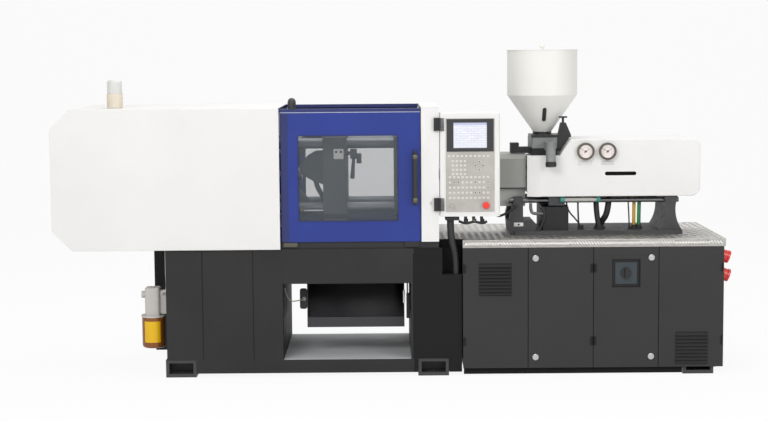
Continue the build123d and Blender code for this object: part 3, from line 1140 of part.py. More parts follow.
# Main switch: grip on a shaft that turns in the switch plate
with BuildPart() as main_switch:
    plate_front = -HALF_DEPTH + SWITCH_DEPTH - SHEET
    dial_back = plate_front - RUN_CLEARANCE
    bar("Y", SWITCH_X, dial_back - SWITCH_DIAL / 2, SWITCH_Z, SWITCH_RADIUS, SWITCH_DIAL)
    block(SWITCH_X - SWITCH_GRIP / 2, SWITCH_X + SWITCH_GRIP / 2, dial_back - SWITCH_DIAL - SWITCH_GRIP,
          dial_back - SWITCH_DIAL, SWITCH_Z - SWITCH_RADIUS, SWITCH_Z + SWITCH_RADIUS)
    bar("Y", SWITCH_X, dial_back + SWITCH_SHAFT / 2, SWITCH_Z, SWITCH_SHAFT_RADIUS, SWITCH_SHAFT)
save(main_switch, "main_switch")

# Electrical plate on the back wall of the right compartment, with its switchgear
with BuildPart() as electrical_panel:
    panel_left = PARTITION_X + PANEL_MARGIN
    panel_right = CABINET_RIGHT - PANEL_MARGIN
    panel_low = FOOT_HEIGHT + PANEL_MARGIN
    panel_high = CABINET_TOP - PANEL_MARGIN
    wall_y = BASE_HALF - CABINET_WALL
    block(panel_left, panel_right, wall_y - PANEL_STAND, wall_y, panel_low, panel_high)
    for left_share, width_share, low_share, height_share, depth_share in PANEL_UNIT_SHARES:
        unit_left = panel_left + left_share * (panel_right - panel_left)
        unit_low = panel_low + low_share * (panel_high - panel_low)
        block(unit_left, unit_left + width_share * (panel_right - panel_left), wall_y - PANEL_STAND,
              wall_y - PANEL_STAND - depth_share * PANEL_DEPTH, unit_low,
              unit_low + height_share * (panel_high - panel_low))
save(electrical_panel, "electrical_panel")

# Two angled panel sockets with closed lids on the right end
with BuildPart() as sockets:
    for socket_z in (SOCKET_HIGH, SOCKET_LOW):
        block(CABINET_RIGHT, CABINET_RIGHT + SOCKET_FLANGE, SOCKET_Y - SOCKET_SIZE / 2,
              SOCKET_Y + SOCKET_SIZE / 2,
              socket_z - SOCKET_SIZE / 2, socket_z + SOCKET_SIZE / 2)
        neck_x = CABINET_RIGHT + SOCKET_FLANGE
        with Locations(Location((neck_x, SOCKET_Y, socket_z), (0, 90 + SOCKET_TILT, 0))):
            Cylinder(SOCKET_RADIUS, SOCKET_REACH, align=(Align.CENTER, Align.CENTER, Align.MIN))
            with Locations((0, 0, SOCKET_REACH - SOCKET_LID)):
                Cylinder(SOCKET_RADIUS + SHEET, SOCKET_LID, align=(Align.CENTER, Align.CENTER, Align.MIN))
    block(CABINET_RIGHT - OVERRUN, CABINET_RIGHT, -HALF_DEPTH, HALF_DEPTH, 0, POST_TOP, Mode.SUBTRACT)
save(sockets, "sockets")

# Injection base: plate with the forked front pedestal, the middle block and the waisted rear casting
with BuildPart() as injection_base:
    block(INJ_LEFT, INJ_RIGHT, -INJ_HALF, INJ_HALF, TREAD_TOP, INJ_TOP)
    column_left = PEDESTAL_LEFT + PEDESTAL_TOE + PEDESTAL_SHOULDER
    column_right = column_left + PEDESTAL_COLUMN
    step_z = TREAD_TOP + PEDESTAL_STEP
    with BuildSketch(front_plane(-SUPPORT_HALF)):
        with BuildLine():
            Polyline((PEDESTAL_LEFT + PEDESTAL_TOE, TREAD_TOP), (PEDESTAL_LEFT, TREAD_TOP + PEDESTAL_KNEE),
                     (column_left, SUPPORT_TOP), (column_right, SUPPORT_TOP), (column_right, step_z),
                     (column_right + PEDESTAL_TAIL, step_z), (column_right + PEDESTAL_TAIL, TREAD_TOP),
                     close=True)
        make_face()
    extrude(amount=-2 * SUPPORT_HALF)
    block(PEDESTAL_LEFT - OVERRUN, column_right + OVERRUN, -PEDESTAL_FORK, PEDESTAL_FORK, step_z,
          SUPPORT_TOP + OVERRUN, Mode.SUBTRACT)
    block(MIDDLE_BLOCK_LEFT, MIDDLE_BLOCK_LEFT + MIDDLE_BLOCK_LENGTH, -SUPPORT_HALF, SUPPORT_HALF, INJ_TOP,
          GUIDE_Z - LEG_HALF - MIDDLE_BLOCK_TOP_GAP)
    with BuildSketch(front_plane(-SUPPORT_HALF)):
        with BuildLine():
            waist_left = INJ_RIGHT - REAR_CAST_LENGTH + REAR_CAST_WAIST
            waist_right = INJ_RIGHT - REAR_CAST_WAIST
            Line((INJ_RIGHT - REAR_CAST_LENGTH, INJ_TOP), (INJ_RIGHT, INJ_TOP))
            RadiusArc((INJ_RIGHT, INJ_TOP), (waist_right, SUPPORT_TOP), REAR_CAST_RADIUS)
            Line((waist_right, SUPPORT_TOP), (waist_left, SUPPORT_TOP))
            RadiusArc((waist_left, SUPPORT_TOP), (INJ_RIGHT - REAR_CAST_LENGTH, INJ_TOP), REAR_CAST_RADIUS)
        make_face()
    extrude(amount=-2 * SUPPORT_HALF)
    for side in (-1, 1):
        bar("X", (INJ_LEFT + INJ_RIGHT) / 2, side * GUIDE_Y, GUIDE_Z, GUIDE_RADIUS + RUN_CLEARANCE,
            2 * INJ_LENGTH,
            Mode.SUBTRACT)
save(injection_base, "injection_base")

# Two guide rods through the pedestal and the rear casting
with BuildPart() as guide_rods:
    for side in (-1, 1):
        rod_left = PEDESTAL_LEFT + PEDESTAL_TOE - GUIDE_PROUD
        rod_right = INJ_RIGHT - REAR_CAST_WAIST + GUIDE_PROUD
        bar("X", (rod_left + rod_right) / 2, side * GUIDE_Y, GUIDE_Z, GUIDE_RADIUS, rod_right - rod_left)
        chamfer(guide_rods.edges().group_by(Axis.X)[0], SHEET)
save(guide_rods, "guide_rods")

# Carriage: cast housing on two bored legs, with the rods and the end plate that guide the screw motor
with BuildPart() as injection_carriage:
    block(HOUSING_LEFT, HOUSING_RIGHT, -HOUSING_HALF, HOUSING_HALF, HOUSING_BOTTOM, HOUSING_TOP)
    fillet(injection_carriage.edges().filter_by(Axis.Z), HOUSING_EDGE)
    for side in (-1, 1):
        block(HOUSING_RIGHT - LEG_LENGTH, HOUSING_RIGHT, side * (GUIDE_Y - LEG_HALF),
              side * (GUIDE_Y + LEG_HALF), GUIDE_Z - LEG_HALF, HOUSING_BOTTOM)
        bar("X", HOUSING_RIGHT, side * GUIDE_Y, GUIDE_Z, GUIDE_RADIUS + RUN_CLEARANCE, 2 * HOUSING_LENGTH,
            Mode.SUBTRACT)
        bar("X", (HOUSING_RIGHT + END_PLATE_RIGHT) / 2, side * MOTOR_ROD_Y, CENTRE_Z, MOTOR_ROD_RADIUS,
            END_PLATE_RIGHT - HOUSING_RIGHT)
    block(END_PLATE_RIGHT - END_PLATE_LENGTH, END_PLATE_RIGHT, -HOUSING_HALF, HOUSING_HALF,
          CENTRE_Z - END_PLATE_HALF, CENTRE_Z + END_PLATE_HALF)
    bar("X", (HOUSING_LEFT + BARREL_RIGHT) / 2 - OVERRUN / 2, 0, CENTRE_Z, BARREL_RADIUS + RUN_CLEARANCE,
        BARREL_RIGHT - HOUSING_LEFT + OVERRUN, Mode.SUBTRACT)
    bar("X", HOUSING_RIGHT, 0, CENTRE_Z, SCREW_RADIUS + SEAT_CLEARANCE, HOUSING_LENGTH, Mode.SUBTRACT)
    bar("Z", HOPPER_X, 0, HOUSING_TOP, FEED_RADIUS, 2 * (HOUSING_TOP - CENTRE_Z), Mode.SUBTRACT)
save(injection_carriage, "injection_carriage")

# Barrel with its heater bands, its nozzle, the bore for the screw and the feed port
with BuildPart() as barrel:
    bar("X", (BARREL_LEFT + BARREL_RIGHT) / 2, 0, CENTRE_Z, BARREL_RADIUS, BARREL_RIGHT - BARREL_LEFT)
    for band in range(BAND_COUNT):
        band_x = BARREL_LEFT + BAND_START + BAND_PITCH * band
        bar("X", band_x + BAND_LENGTH / 2, 0, CENTRE_Z, BAND_RADIUS, BAND_LENGTH)
    with BuildSketch(Plane((0, 0, CENTRE_Z), x_dir=(1, 0, 0), z_dir=(0, -1, 0))):
        with BuildLine():
            Polyline((BARREL_LEFT, 0), (BARREL_LEFT, NOZZLE_ROOT_RADIUS),
                     (BARREL_LEFT - NOZZLE_LENGTH / 2, NOZZLE_ROOT_RADIUS),
                     (BARREL_LEFT - NOZZLE_LENGTH, NOZZLE_TIP_RADIUS), (BARREL_LEFT - NOZZLE_LENGTH, 0),
                     close=True)
        make_face()
    revolve(axis=Axis((0, 0, CENTRE_Z), (1, 0, 0)))
    bar("X", (BARREL_LEFT + BARREL_RIGHT) / 2 + OVERRUN, 0, CENTRE_Z, SCREW_RADIUS + RUN_CLEARANCE,
        BARREL_RIGHT - BARREL_LEFT + OVERRUN, Mode.SUBTRACT)
    bar("Z", HOPPER_X, 0, CENTRE_Z + BARREL_RADIUS, SCREW_RADIUS, 2 * BARREL_RADIUS, Mode.SUBTRACT)
save(barrel, "barrel")

# Barrel guard: folded sheet in two tiers with end plates bored for the barrel
with BuildPart() as barrel_guard:
    with BuildSketch(Plane.YZ.offset(GUARD_TUBE_LEFT)):
        with BuildLine():
            Polyline((-TIER_HALF, TIER_SPLIT), (-TIER_HALF, TIER_TOP - TIER_SLOPE),
                     (-TIER_HALF + TIER_SLOPE, TIER_TOP), (TIER_HALF - TIER_SLOPE, TIER_TOP),
                     (TIER_HALF, TIER_TOP - TIER_SLOPE), (TIER_HALF, TIER_SPLIT),
                     (LOWER_TIER_HALF, TIER_SPLIT), (LOWER_TIER_HALF, TIER_BOTTOM),
                     (-LOWER_TIER_HALF, TIER_BOTTOM), (-LOWER_TIER_HALF, TIER_SPLIT), close=True)
        make_face()
    extrude(amount=GUARD_TUBE_LENGTH)
    offset(amount=-SHEET, openings=[barrel_guard.faces().sort_by(Axis.Z)[0]])
    bar("X", GUARD_TUBE_LEFT + GUARD_TUBE_LENGTH / 2, 0, CENTRE_Z, BARREL_RADIUS + RUN_CLEARANCE,
        GUARD_TUBE_LENGTH + OVERRUN, Mode.SUBTRACT)
save(barrel_guard, "barrel_guard")

# Plasticising screw: shank in the housing and a pointed tip
with BuildPart() as screw:
    with BuildSketch(Plane((0, 0, CENTRE_Z), x_dir=(1, 0, 0), z_dir=(0, -1, 0))):
        with BuildLine():
            Polyline((SCREW_LEFT, 0), (SCREW_LEFT + SCREW_TIP, SCREW_RADIUS), (MOTOR_LEFT, SCREW_RADIUS),
                     (MOTOR_LEFT, 0), close=True)
        make_face()
    revolve(axis=Axis((0, 0, CENTRE_Z), (1, 0, 0)))
save(screw, "screw")

# Screw motor on its yoke, sliding on the two rods of the carriage
with BuildPart() as screw_motor:
    block(MOTOR_LEFT, MOTOR_LEFT + YOKE_LENGTH, -MOTOR_ROD_Y - YOKE_MARGIN, MOTOR_ROD_Y + YOKE_MARGIN,
          CENTRE_Z - END_PLATE_HALF, CENTRE_Z + END_PLATE_HALF)
    fillet(screw_motor.edges().filter_by(Axis.X), YOKE_MARGIN / 2)
    bar("X", MOTOR_LEFT + YOKE_LENGTH + MOTOR_LENGTH / 2, 0, CENTRE_Z, MOTOR_RADIUS, MOTOR_LENGTH)
    for side in (-1, 1):
        bar("X", MOTOR_LEFT, side * MOTOR_ROD_Y, CENTRE_Z, MOTOR_ROD_RADIUS + RUN_CLEARANCE,
            4 * YOKE_LENGTH, Mode.SUBTRACT)
save(screw_motor, "screw_motor")


def cover_corners(inset):
    """Side outline of the injection cover, drawn in by a wall, open at the bottom and on the left."""
    step_top = COVER_STEP_TOP - inset
    top = COVER_TOP - inset
    right = COVER_RIGHT - inset
    return [(COVER_LEFT, COVER_BOTTOM), (COVER_LEFT, step_top), (COVER_LEFT + COVER_STEP_LENGTH, step_top),
            (COVER_LEFT + COVER_STEP_LENGTH + COVER_SLOPE_LENGTH, top), (right, top), (right, COVER_BOTTOM)]


# Injection cover: sheet hood with a low step for the hopper, a gauge slot and rounded right corners
with BuildPart() as injection_cover:
    with BuildSketch(front_plane(-COVER_HALF)):
        with BuildLine():
            Polyline(*cover_corners(0), close=True)
        make_face()
    extrude(amount=-2 * COVER_HALF)
    fillet(injection_cover.edges().filter_by(Axis.Y).group_by(Axis.X)[-1], COVER_RADIUS)
    fillet(injection_cover.faces().sort_by(Axis.Y)[0].edges().group_by(Axis.Z)[-1], COVER_EDGE)
    with BuildSketch(front_plane(-COVER_HALF + SHEET)):
        with BuildLine():
            Polyline(*cover_corners(SHEET), close=True)
        make_face()
        fillet(vertices().group_by(Axis.X)[-1], COVER_RADIUS - SHEET)
    extrude(amount=-2 * (COVER_HALF - SHEET), mode=Mode.SUBTRACT)
    block(COVER_LEFT, COVER_RIGHT - COVER_RADIUS, -COVER_HALF + SHEET, COVER_HALF - SHEET,
          COVER_BOTTOM - OVERRUN,
          COVER_BOTTOM + SHEET, Mode.SUBTRACT)
    block(BED_LEFT - SEAT_CLEARANCE, BED_RIGHT + SEAT_CLEARANCE, BED_FRONT - SEAT_CLEARANCE,
          BED_BACK + SEAT_CLEARANCE,
          HOUSING_TOP - SHEET, COVER_STEP_TOP + OVERRUN, Mode.SUBTRACT)
    bevel_start = (COVER_LEFT, -COVER_HALF + COVER_BEVEL_DEPTH)
    bevel_end = (COVER_LEFT + COVER_BEVEL_LENGTH, -COVER_HALF)
    with BuildSketch(Plane.XY.offset(COVER_BOTTOM - OVERRUN)):
        with BuildLine():
            Polyline(bevel_start, bevel_end, (COVER_LEFT, -COVER_HALF - SHEET),
                     (COVER_LEFT - SHEET, -COVER_HALF - SHEET),
                     (COVER_LEFT - SHEET, -COVER_HALF + COVER_BEVEL_DEPTH),
                     close=True)
        make_face()
    extrude(amount=COVER_TOP, mode=Mode.SUBTRACT)
    with BuildSketch(Plane.XY.offset(COVER_BOTTOM)):
        with BuildLine():
            Polyline(bevel_start, bevel_end, (bevel_end[0] + SHEET, -COVER_HALF + SHEET),
                     (COVER_LEFT, bevel_start[1] + SHEET), close=True)
        make_face()
    extrude(amount=COVER_STEP_TOP - COVER_BOTTOM)
    with BuildSketch(front_plane(-COVER_HALF - SHEET)):
        with Locations((SLOT_X, SLOT_Z)):
            SlotOverall(SLOT_LENGTH, SLOT_HEIGHT)
    extrude(amount=-3 * SHEET, mode=Mode.SUBTRACT)
save(injection_cover, "injection_cover")

# Two pressure gauges on the cover, each with a dial set back behind its rim and a needle
with BuildPart() as gauges:
    for gauge_x in (GAUGE_X, GAUGE_X + GAUGE_PITCH):
        bar("Y", gauge_x, -COVER_HALF - GAUGE_DEPTH / 2, GAUGE_Z, GAUGE_RADIUS, GAUGE_DEPTH)
        bar("Y", gauge_x, -COVER_HALF - GAUGE_DEPTH, GAUGE_Z, GAUGE_RADIUS - GAUGE_RIM, 2 * GAUGE_RIM,
            Mode.SUBTRACT)
        needle_y = -COVER_HALF - GAUGE_DEPTH + GAUGE_RIM
        bar("Y", gauge_x, needle_y - SHEET / 2, GAUGE_Z, GAUGE_RIM, SHEET)
        with Locations(Location((gauge_x, needle_y - SHEET / 2, GAUGE_Z), (0, GAUGE_NEEDLE_TURN, 0))):
            Box(SHEET / 2, SHEET, GAUGE_RADIUS, align=(Align.CENTER, Align.CENTER, Align.MIN))
save(gauges, "gauges")

# Hopper bed on the housing: bored block with the stop arm, and the drain pipe in front of the cover
with BuildPart() as hopper_bed:
    block(BED_LEFT, BED_RIGHT, BED_FRONT, BED_BACK, HOUSING_TOP, BED_TOP)
    fillet(hopper_bed.edges().filter_by(Axis.Z), HOUSING_EDGE)
    arm_low = TIER_TOP + ARM_RISE
    arm_left = BED_LEFT - ARM_REACH
    block(arm_left, BED_LEFT + HOUSING_EDGE, ARM_FRONT, ARM_BACK, arm_low, arm_low + ARM_HEIGHT)
    block(arm_left, arm_left + ARM_HEAD, ARM_FRONT, ARM_BACK, arm_low, arm_low + ARM_HEAD_HEIGHT)
    block(SPOUT_X - SPOUT_RADIUS, SPOUT_X + SPOUT_RADIUS, SPOUT_Y, BED_FRONT, NOSE_TOP - NOSE_HEIGHT,
          NOSE_TOP)
    bar("Z", SPOUT_X, SPOUT_Y, NOSE_TOP - NOSE_HEIGHT / 2, SPOUT_RADIUS, NOSE_HEIGHT)
    with Locations(Location((SPOUT_X, SPOUT_Y, NOSE_TOP - NOSE_HEIGHT / 2), (180 - SPOUT_TILT, 0, 0))):
        Cylinder(SPOUT_RADIUS, SPOUT_LENGTH, align=(Align.CENTER, Align.CENTER, Align.MIN))
        with Locations((0, 0, SPOUT_LENGTH)):
            Cylinder(SPOUT_RADIUS + SHEET, SPOUT_CAP, align=(Align.CENTER, Align.CENTER, Align.MAX))
    bar("Z", HOPPER_X, 0, (HOUSING_TOP + BED_TOP) / 2, FEED_RADIUS, BED_TOP, Mode.SUBTRACT)
save(hopper_bed, "hopper_bed")

# Hopper: spun drum and cone on a sliding plate, with the block of its clamp screw
with BuildPart() as hopper:
    with BuildSketch(Plane((HOPPER_X, 0, 0), x_dir=(1, 0, 0), z_dir=(0, -1, 0))):
        with BuildLine():
            Polyline((HOPPER_NECK_RADIUS, PLATE_TOP), (HOPPER_NECK_RADIUS, CONE_BOTTOM),
                     (HOPPER_RADIUS, CONE_TOP),
                     (HOPPER_RADIUS, RIM_Z), (HOPPER_RADIUS - SHEET, RIM_Z),
                     (HOPPER_RADIUS - SHEET, CONE_TOP),
                     (HOPPER_NECK_RADIUS - SHEET, CONE_BOTTOM), (HOPPER_NECK_RADIUS - SHEET, PLATE_TOP),
                     close=True)
        make_face()
    revolve(axis=Axis((HOPPER_X, 0, 0), (0, 0, 1)))
    block(BED_LEFT, SCREW_BLOCK_X, SCREW_BLOCK_Y - SCREW_BLOCK_HALF, -BED_FRONT / 2,
          PLATE_BOTTOM, PLATE_TOP)
    bar("Z", HOPPER_X, 0, PLATE_BOTTOM, FEED_RADIUS, 3 * PLATE_THICKNESS, Mode.SUBTRACT)
    block_top = PLATE_TOP + SCREW_BLOCK_HEIGHT
    block_left = SCREW_BLOCK_X - SCREW_BLOCK_LEFT
    block_right = SCREW_BLOCK_X + SCREW_BLOCK_RIGHT
    slope_rise = (COVER_TOP - COVER_STEP_TOP) / COVER_SLOPE_LENGTH
    slope_start = COVER_LEFT + COVER_STEP_LENGTH - SCREW_BLOCK_GAP
    block_slope = slope_start + (PLATE_BOTTOM - COVER_STEP_TOP) / slope_rise
    block_low = COVER_STEP_TOP + slope_rise * (block_left + SCREW_BLOCK_DROP - slope_start)
    with BuildSketch(front_plane(SCREW_BLOCK_Y - SCREW_BLOCK_HALF)):
        with BuildLine():
            Polyline((block_left, block_low), (block_left + SCREW_BLOCK_DROP, block_low),
                     (block_slope, PLATE_BOTTOM), (block_right, PLATE_BOTTOM), (block_right, PLATE_TOP),
                     (SCREW_BLOCK_X + SCREW_BLOCK_CROWN, block_top),
                     (SCREW_BLOCK_X - SCREW_BLOCK_CROWN, block_top), (block_left, PLATE_TOP), close=True)
        make_face()
    extrude(amount=-2 * SCREW_BLOCK_HALF)
    bar("Z", SCREW_BLOCK_X, SCREW_BLOCK_Y, PLATE_TOP + SCREW_BLOCK_HEIGHT,
        CLAMP_SCREW_RADIUS + RUN_CLEARANCE,
        SCREW_BLOCK_HEIGHT, Mode.SUBTRACT)
save(hopper, "hopper")

# Clamp screw of the hopper: T-handle on a screw that enters its block
with BuildPart() as clamp_screw:
    screw_low = PLATE_TOP + SCREW_BLOCK_HEIGHT * CLAMP_DEPTH_SHARE
    screw_high = PLATE_TOP + SCREW_BLOCK_HEIGHT + CLAMP_RISE
    bar("Z", SCREW_BLOCK_X, SCREW_BLOCK_Y, (screw_low + screw_high) / 2, CLAMP_SCREW_RADIUS,
        screw_high - screw_low)
    bar("X", SCREW_BLOCK_X, SCREW_BLOCK_Y, screw_high, CLAMP_BAR_RADIUS, 2 * CLAMP_BAR_HALF)
save(clamp_screw, "clamp_screw")

# Hopper lid: turned disc with a locating rim and a knob
with BuildPart() as hopper_lid:
    with BuildSketch(Plane((HOPPER_X, 0, 0), x_dir=(1, 0, 0), z_dir=(0, -1, 0))):
        with BuildLine():
            lid_rim = HOPPER_RADIUS - SHEET - LID_CLEARANCE
            Polyline((0, RIM_Z), (lid_rim - SHEET, RIM_Z), (lid_rim - SHEET, RIM_Z - LID_RIM),
                     (lid_rim, RIM_Z - LID_RIM),
                     (lid_rim, RIM_Z), (HOPPER_RADIUS + SHEET, RIM_Z),
                     (HOPPER_RADIUS + SHEET, RIM_Z + LID_THICKNESS),
                     (KNOB_RADIUS / 2, RIM_Z + LID_THICKNESS), (KNOB_RADIUS / 2, KNOB_TOP - KNOB_RADIUS),
                     (KNOB_RADIUS, KNOB_TOP - KNOB_RADIUS / 2), (KNOB_RADIUS * KNOB_CROWN_SHARE, KNOB_TOP),
                     (0, KNOB_TOP), close=True)
        make_face()
    revolve(axis=Axis((HOPPER_X, 0, 0), (0, 0, 1)))
save(hopper_lid, "hopper_lid")
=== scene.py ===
"""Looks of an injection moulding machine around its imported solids, laid out as an add-on."""

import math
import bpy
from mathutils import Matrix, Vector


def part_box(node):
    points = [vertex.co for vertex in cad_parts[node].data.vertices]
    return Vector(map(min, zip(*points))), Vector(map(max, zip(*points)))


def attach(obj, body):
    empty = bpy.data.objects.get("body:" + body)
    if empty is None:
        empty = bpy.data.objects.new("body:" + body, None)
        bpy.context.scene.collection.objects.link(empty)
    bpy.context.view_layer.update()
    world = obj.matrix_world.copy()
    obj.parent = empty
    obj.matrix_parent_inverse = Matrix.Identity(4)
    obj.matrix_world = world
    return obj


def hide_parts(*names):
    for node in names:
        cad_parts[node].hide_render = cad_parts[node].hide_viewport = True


bl_info = {
    "name": "Injection moulding machine",
    "version": (1, 0, 0),
    "blender": (4, 5, 0),
    "location": "View3D > Sidebar > Machine",
    "description": "Finishes, small pieces and stage of the moulding machine",
    "category": "Object",
}

import bpy
import numpy as np
from mathutils import Matrix

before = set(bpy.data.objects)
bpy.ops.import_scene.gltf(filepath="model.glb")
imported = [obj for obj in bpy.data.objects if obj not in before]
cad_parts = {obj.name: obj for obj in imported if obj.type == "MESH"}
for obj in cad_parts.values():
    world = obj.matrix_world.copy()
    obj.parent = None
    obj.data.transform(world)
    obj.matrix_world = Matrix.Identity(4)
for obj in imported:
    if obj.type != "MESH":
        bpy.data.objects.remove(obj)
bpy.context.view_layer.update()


# Numpy surfaces


def joined(*parts):
    """Put several (points, faces) pairs into one, each pair's faces moved past the points before it."""
    points, faces, start = [], [], 0
    for part_points, part_faces in parts:
        points.append(part_points)
        faces.extend([tuple(i + start for i in face) for face in part_faces])
        start += len(part_points)
    return np.concatenate(points), faces


def grid_faces(rows, columns, wrap_rows=False, wrap_columns=False):
    """Quads of a grid of points held row by row, with either side closed on itself."""
    r = np.arange(rows if wrap_rows else rows - 1)
    c = np.arange(columns if wrap_columns else columns - 1)
    r, c = np.meshgrid(r, c, indexing="ij")
    r1, c1 = (r + 1) % rows, (c + 1) % columns
    quads = np.stack([r * columns + c, r * columns + c1, r1 * columns + c1, r1 * columns + c], -1)
    return [tuple(q) for q in quads.reshape(-1, 4).tolist()]


def axes_of(direction):
    """Three unit axes, the last along direction: the other two are square to it and to each other."""
    w = np.asarray(direction, float)
    w = w / np.linalg.norm(w)
    side = np.array([0.0, 0.0, 1.0]) if abs(w[2]) < 0.9 else np.array([1.0, 0.0, 0.0])
    u = np.cross(side, w)
    u = u / np.linalg.norm(u)
    return u, np.cross(w, u), w


def turned(profile, centre, direction, sides=32):
    """Surface of revolution: each (radius, height) of the profile goes round the axis through centre,
    point = centre + height * axis + radius * (cos t * u + sin t * v), with both ends closed by a fan."""
    u, v, w = axes_of(direction)
    rings = np.asarray(profile, float)
    t = np.arange(sides) * 2 * np.pi / sides
    ring = np.cos(t)[:, None] * u + np.sin(t)[:, None] * v
    points = np.asarray(centre, float) + rings[:, 1, None, None] * w + rings[:, 0, None, None] * ring
    count = len(rings)
    faces = grid_faces(count, sides, wrap_columns=True)
    ends = np.asarray(centre, float) + np.array([rings[0, 1], rings[-1, 1]])[:, None] * w
    flat = np.concatenate([points.reshape(-1, 3), ends])
    low, high, last = count * sides, count * sides + 1, (count - 1) * sides
    faces += [(low, (i + 1) % sides, i) for i in range(sides)]
    faces += [(high, last + i, last + (i + 1) % sides) for i in range(sides)]
    return flat, faces


def tube(path, radius, sides=12):
    """A circle carried along a path: at each point the circle lies square to the path's direction, its
    first axis square to one fixed side direction, and both ends are closed by a fan."""
    p = np.asarray(path, float)
    along = np.gradient(p, axis=0)
    along /= np.linalg.norm(along, axis=1)[:, None]
    spread = np.abs(along).mean(0)
    side = np.eye(3)[int(np.argmin(spread))]
    u = np.cross(np.broadcast_to(side, along.shape), along)
    u /= np.linalg.norm(u, axis=1)[:, None]
    v = np.cross(along, u)
    t = np.arange(sides) * 2 * np.pi / sides
    r = np.broadcast_to(np.asarray(radius, float), (len(p),))
    ring = np.cos(t)[None, :, None] * u[:, None] + np.sin(t)[None, :, None] * v[:, None]
    points = (p[:, None] + r[:, None, None] * ring).reshape(-1, 3)
    faces = grid_faces(len(p), sides, wrap_columns=True)
    low, high, last = len(points), len(points) + 1, (len(p) - 1) * sides
    faces += [(low, (i + 1) % sides, i) for i in range(sides)]
    faces += [(high, last + i, last + (i + 1) % sides) for i in range(sides)]
    return np.concatenate([points, p[:1], p[-1:]]), faces


def smooth_path(corners, count=40):
    """A Catmull-Rom curve through the corners, sampled at even parameter steps: on each span the point is
    the usual cubic of its four neighbours, the end ones mirrored outwards."""
    c = np.asarray(corners, float)
    c = np.concatenate([[2 * c[0] - c[1]], c, [2 * c[-1] - c[-2]]])
    s = np.linspace(0, len(c) - 3, count)
    i = np.minimum(s.astype(int), len(c) - 4)
    t = (s - i)[:, None]
    p0, p1, p2, p3 = c[i], c[i + 1], c[i + 2], c[i + 3]
    return 0.5 * (2 * p1 + (p2 - p0) * t + (2 * p0 - 5 * p1 + 4 * p2 - p3) * t**2
                  + (3 * p1 - p0 - 3 * p2 + p3) * t**3)


def rounded_outline(width, height, radius, corner=5):
    """Rounded rectangle about zero: four quarter circles of the radius, one round each inset corner."""
    t = np.linspace(0, np.pi / 2, corner + 1)
    starts = np.arange(4)[:, None] * np.pi / 2
    angle = starts + t
    radius = min(radius, width / 2, height / 2)
    cx = (width / 2 - radius) * np.array([1, -1, -1, 1])[:, None]
    cy = (height / 2 - radius) * np.array([1, 1, -1, -1])[:, None]
    return np.stack([cx + radius * np.cos(angle), cy + radius * np.sin(angle)], -1).reshape(-1, 2)


def slab(centre, right, up, width, height, depth, radius, edge=0.0):
    """A rounded rectangle carried outwards along right x up: its wall rises by the depth, the last step
    drawn in by the edge size as a small bevel, and front and back are closed by one face each."""
    outline = rounded_outline(width, height, radius)
    shrunk = outline * (1 - 2 * edge / np.array([width, height]))
    right, up = np.asarray(right, float), np.asarray(up, float)
    out = np.cross(right, up)
    rings = [(outline, 0.0), (outline, depth - edge), (shrunk, depth)]
    points = [np.asarray(centre, float) + o[:, :1] * right + o[:, 1:] * up + d * out for o, d in rings]
    n = len(outline)
    faces = grid_faces(3, n, wrap_columns=True)
    faces += [tuple(range(n - 1, -1, -1)), tuple(range(2 * n, 3 * n))]
    return np.concatenate(points), faces


def box(low, high):
    """Six faces of the block between two corners."""
    (x0, y0, z0), (x1, y1, z1) = low, high
    points = np.array([[x, y, z] for x in (x0, x1) for y in (y0, y1) for z in (z0, z1)], float)
    faces = [(0, 1, 3, 2), (4, 6, 7, 5), (0, 4, 5, 1), (2, 3, 7, 6), (0, 2, 6, 4), (1, 5, 7, 3)]
    return points, faces


SHARP_EDGE = math.radians(38)


def piece(name, shape, surface, body, smooth=True, bevel=0.0):
    """Make an object at the origin from (points, faces), give it a finish and let it ride on a body."""
    points, faces = shape
    mesh = bpy.data.meshes.new(name)
    mesh.from_pydata(points.tolist(), [], faces)
    mesh.update()
    mesh.polygons.foreach_set("use_smooth", np.full(len(mesh.polygons), smooth))
    obj = bpy.data.objects.new(name, mesh)
    bpy.context.scene.collection.objects.link(obj)
    mesh.materials.append(finish(surface))
    if smooth:
        mesh.set_sharp_from_angle(angle=SHARP_EDGE)
    if bevel:
        rounding = obj.modifiers.new("edges", "BEVEL")
        rounding.width, rounding.segments, rounding.limit_method = bevel, 2, "ANGLE"
    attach(obj, body)
    return obj


# Finishes


def tone(red, green, blue):
    """Linear colour of a screen colour given in steps of 255, by the usual power curve of screens."""
    screen = np.array([red, green, blue]) / 255
    linear = np.where(screen <= 0.04045, screen / 12.92, ((screen + 0.055) / 1.055) ** 2.4)
    return tuple(float(v) for v in linear)


def scaled(colour, factor):
    """The colour made lighter or darker by a factor and kept under 1."""
    return tuple(min(1.0, c * factor) for c in colour)


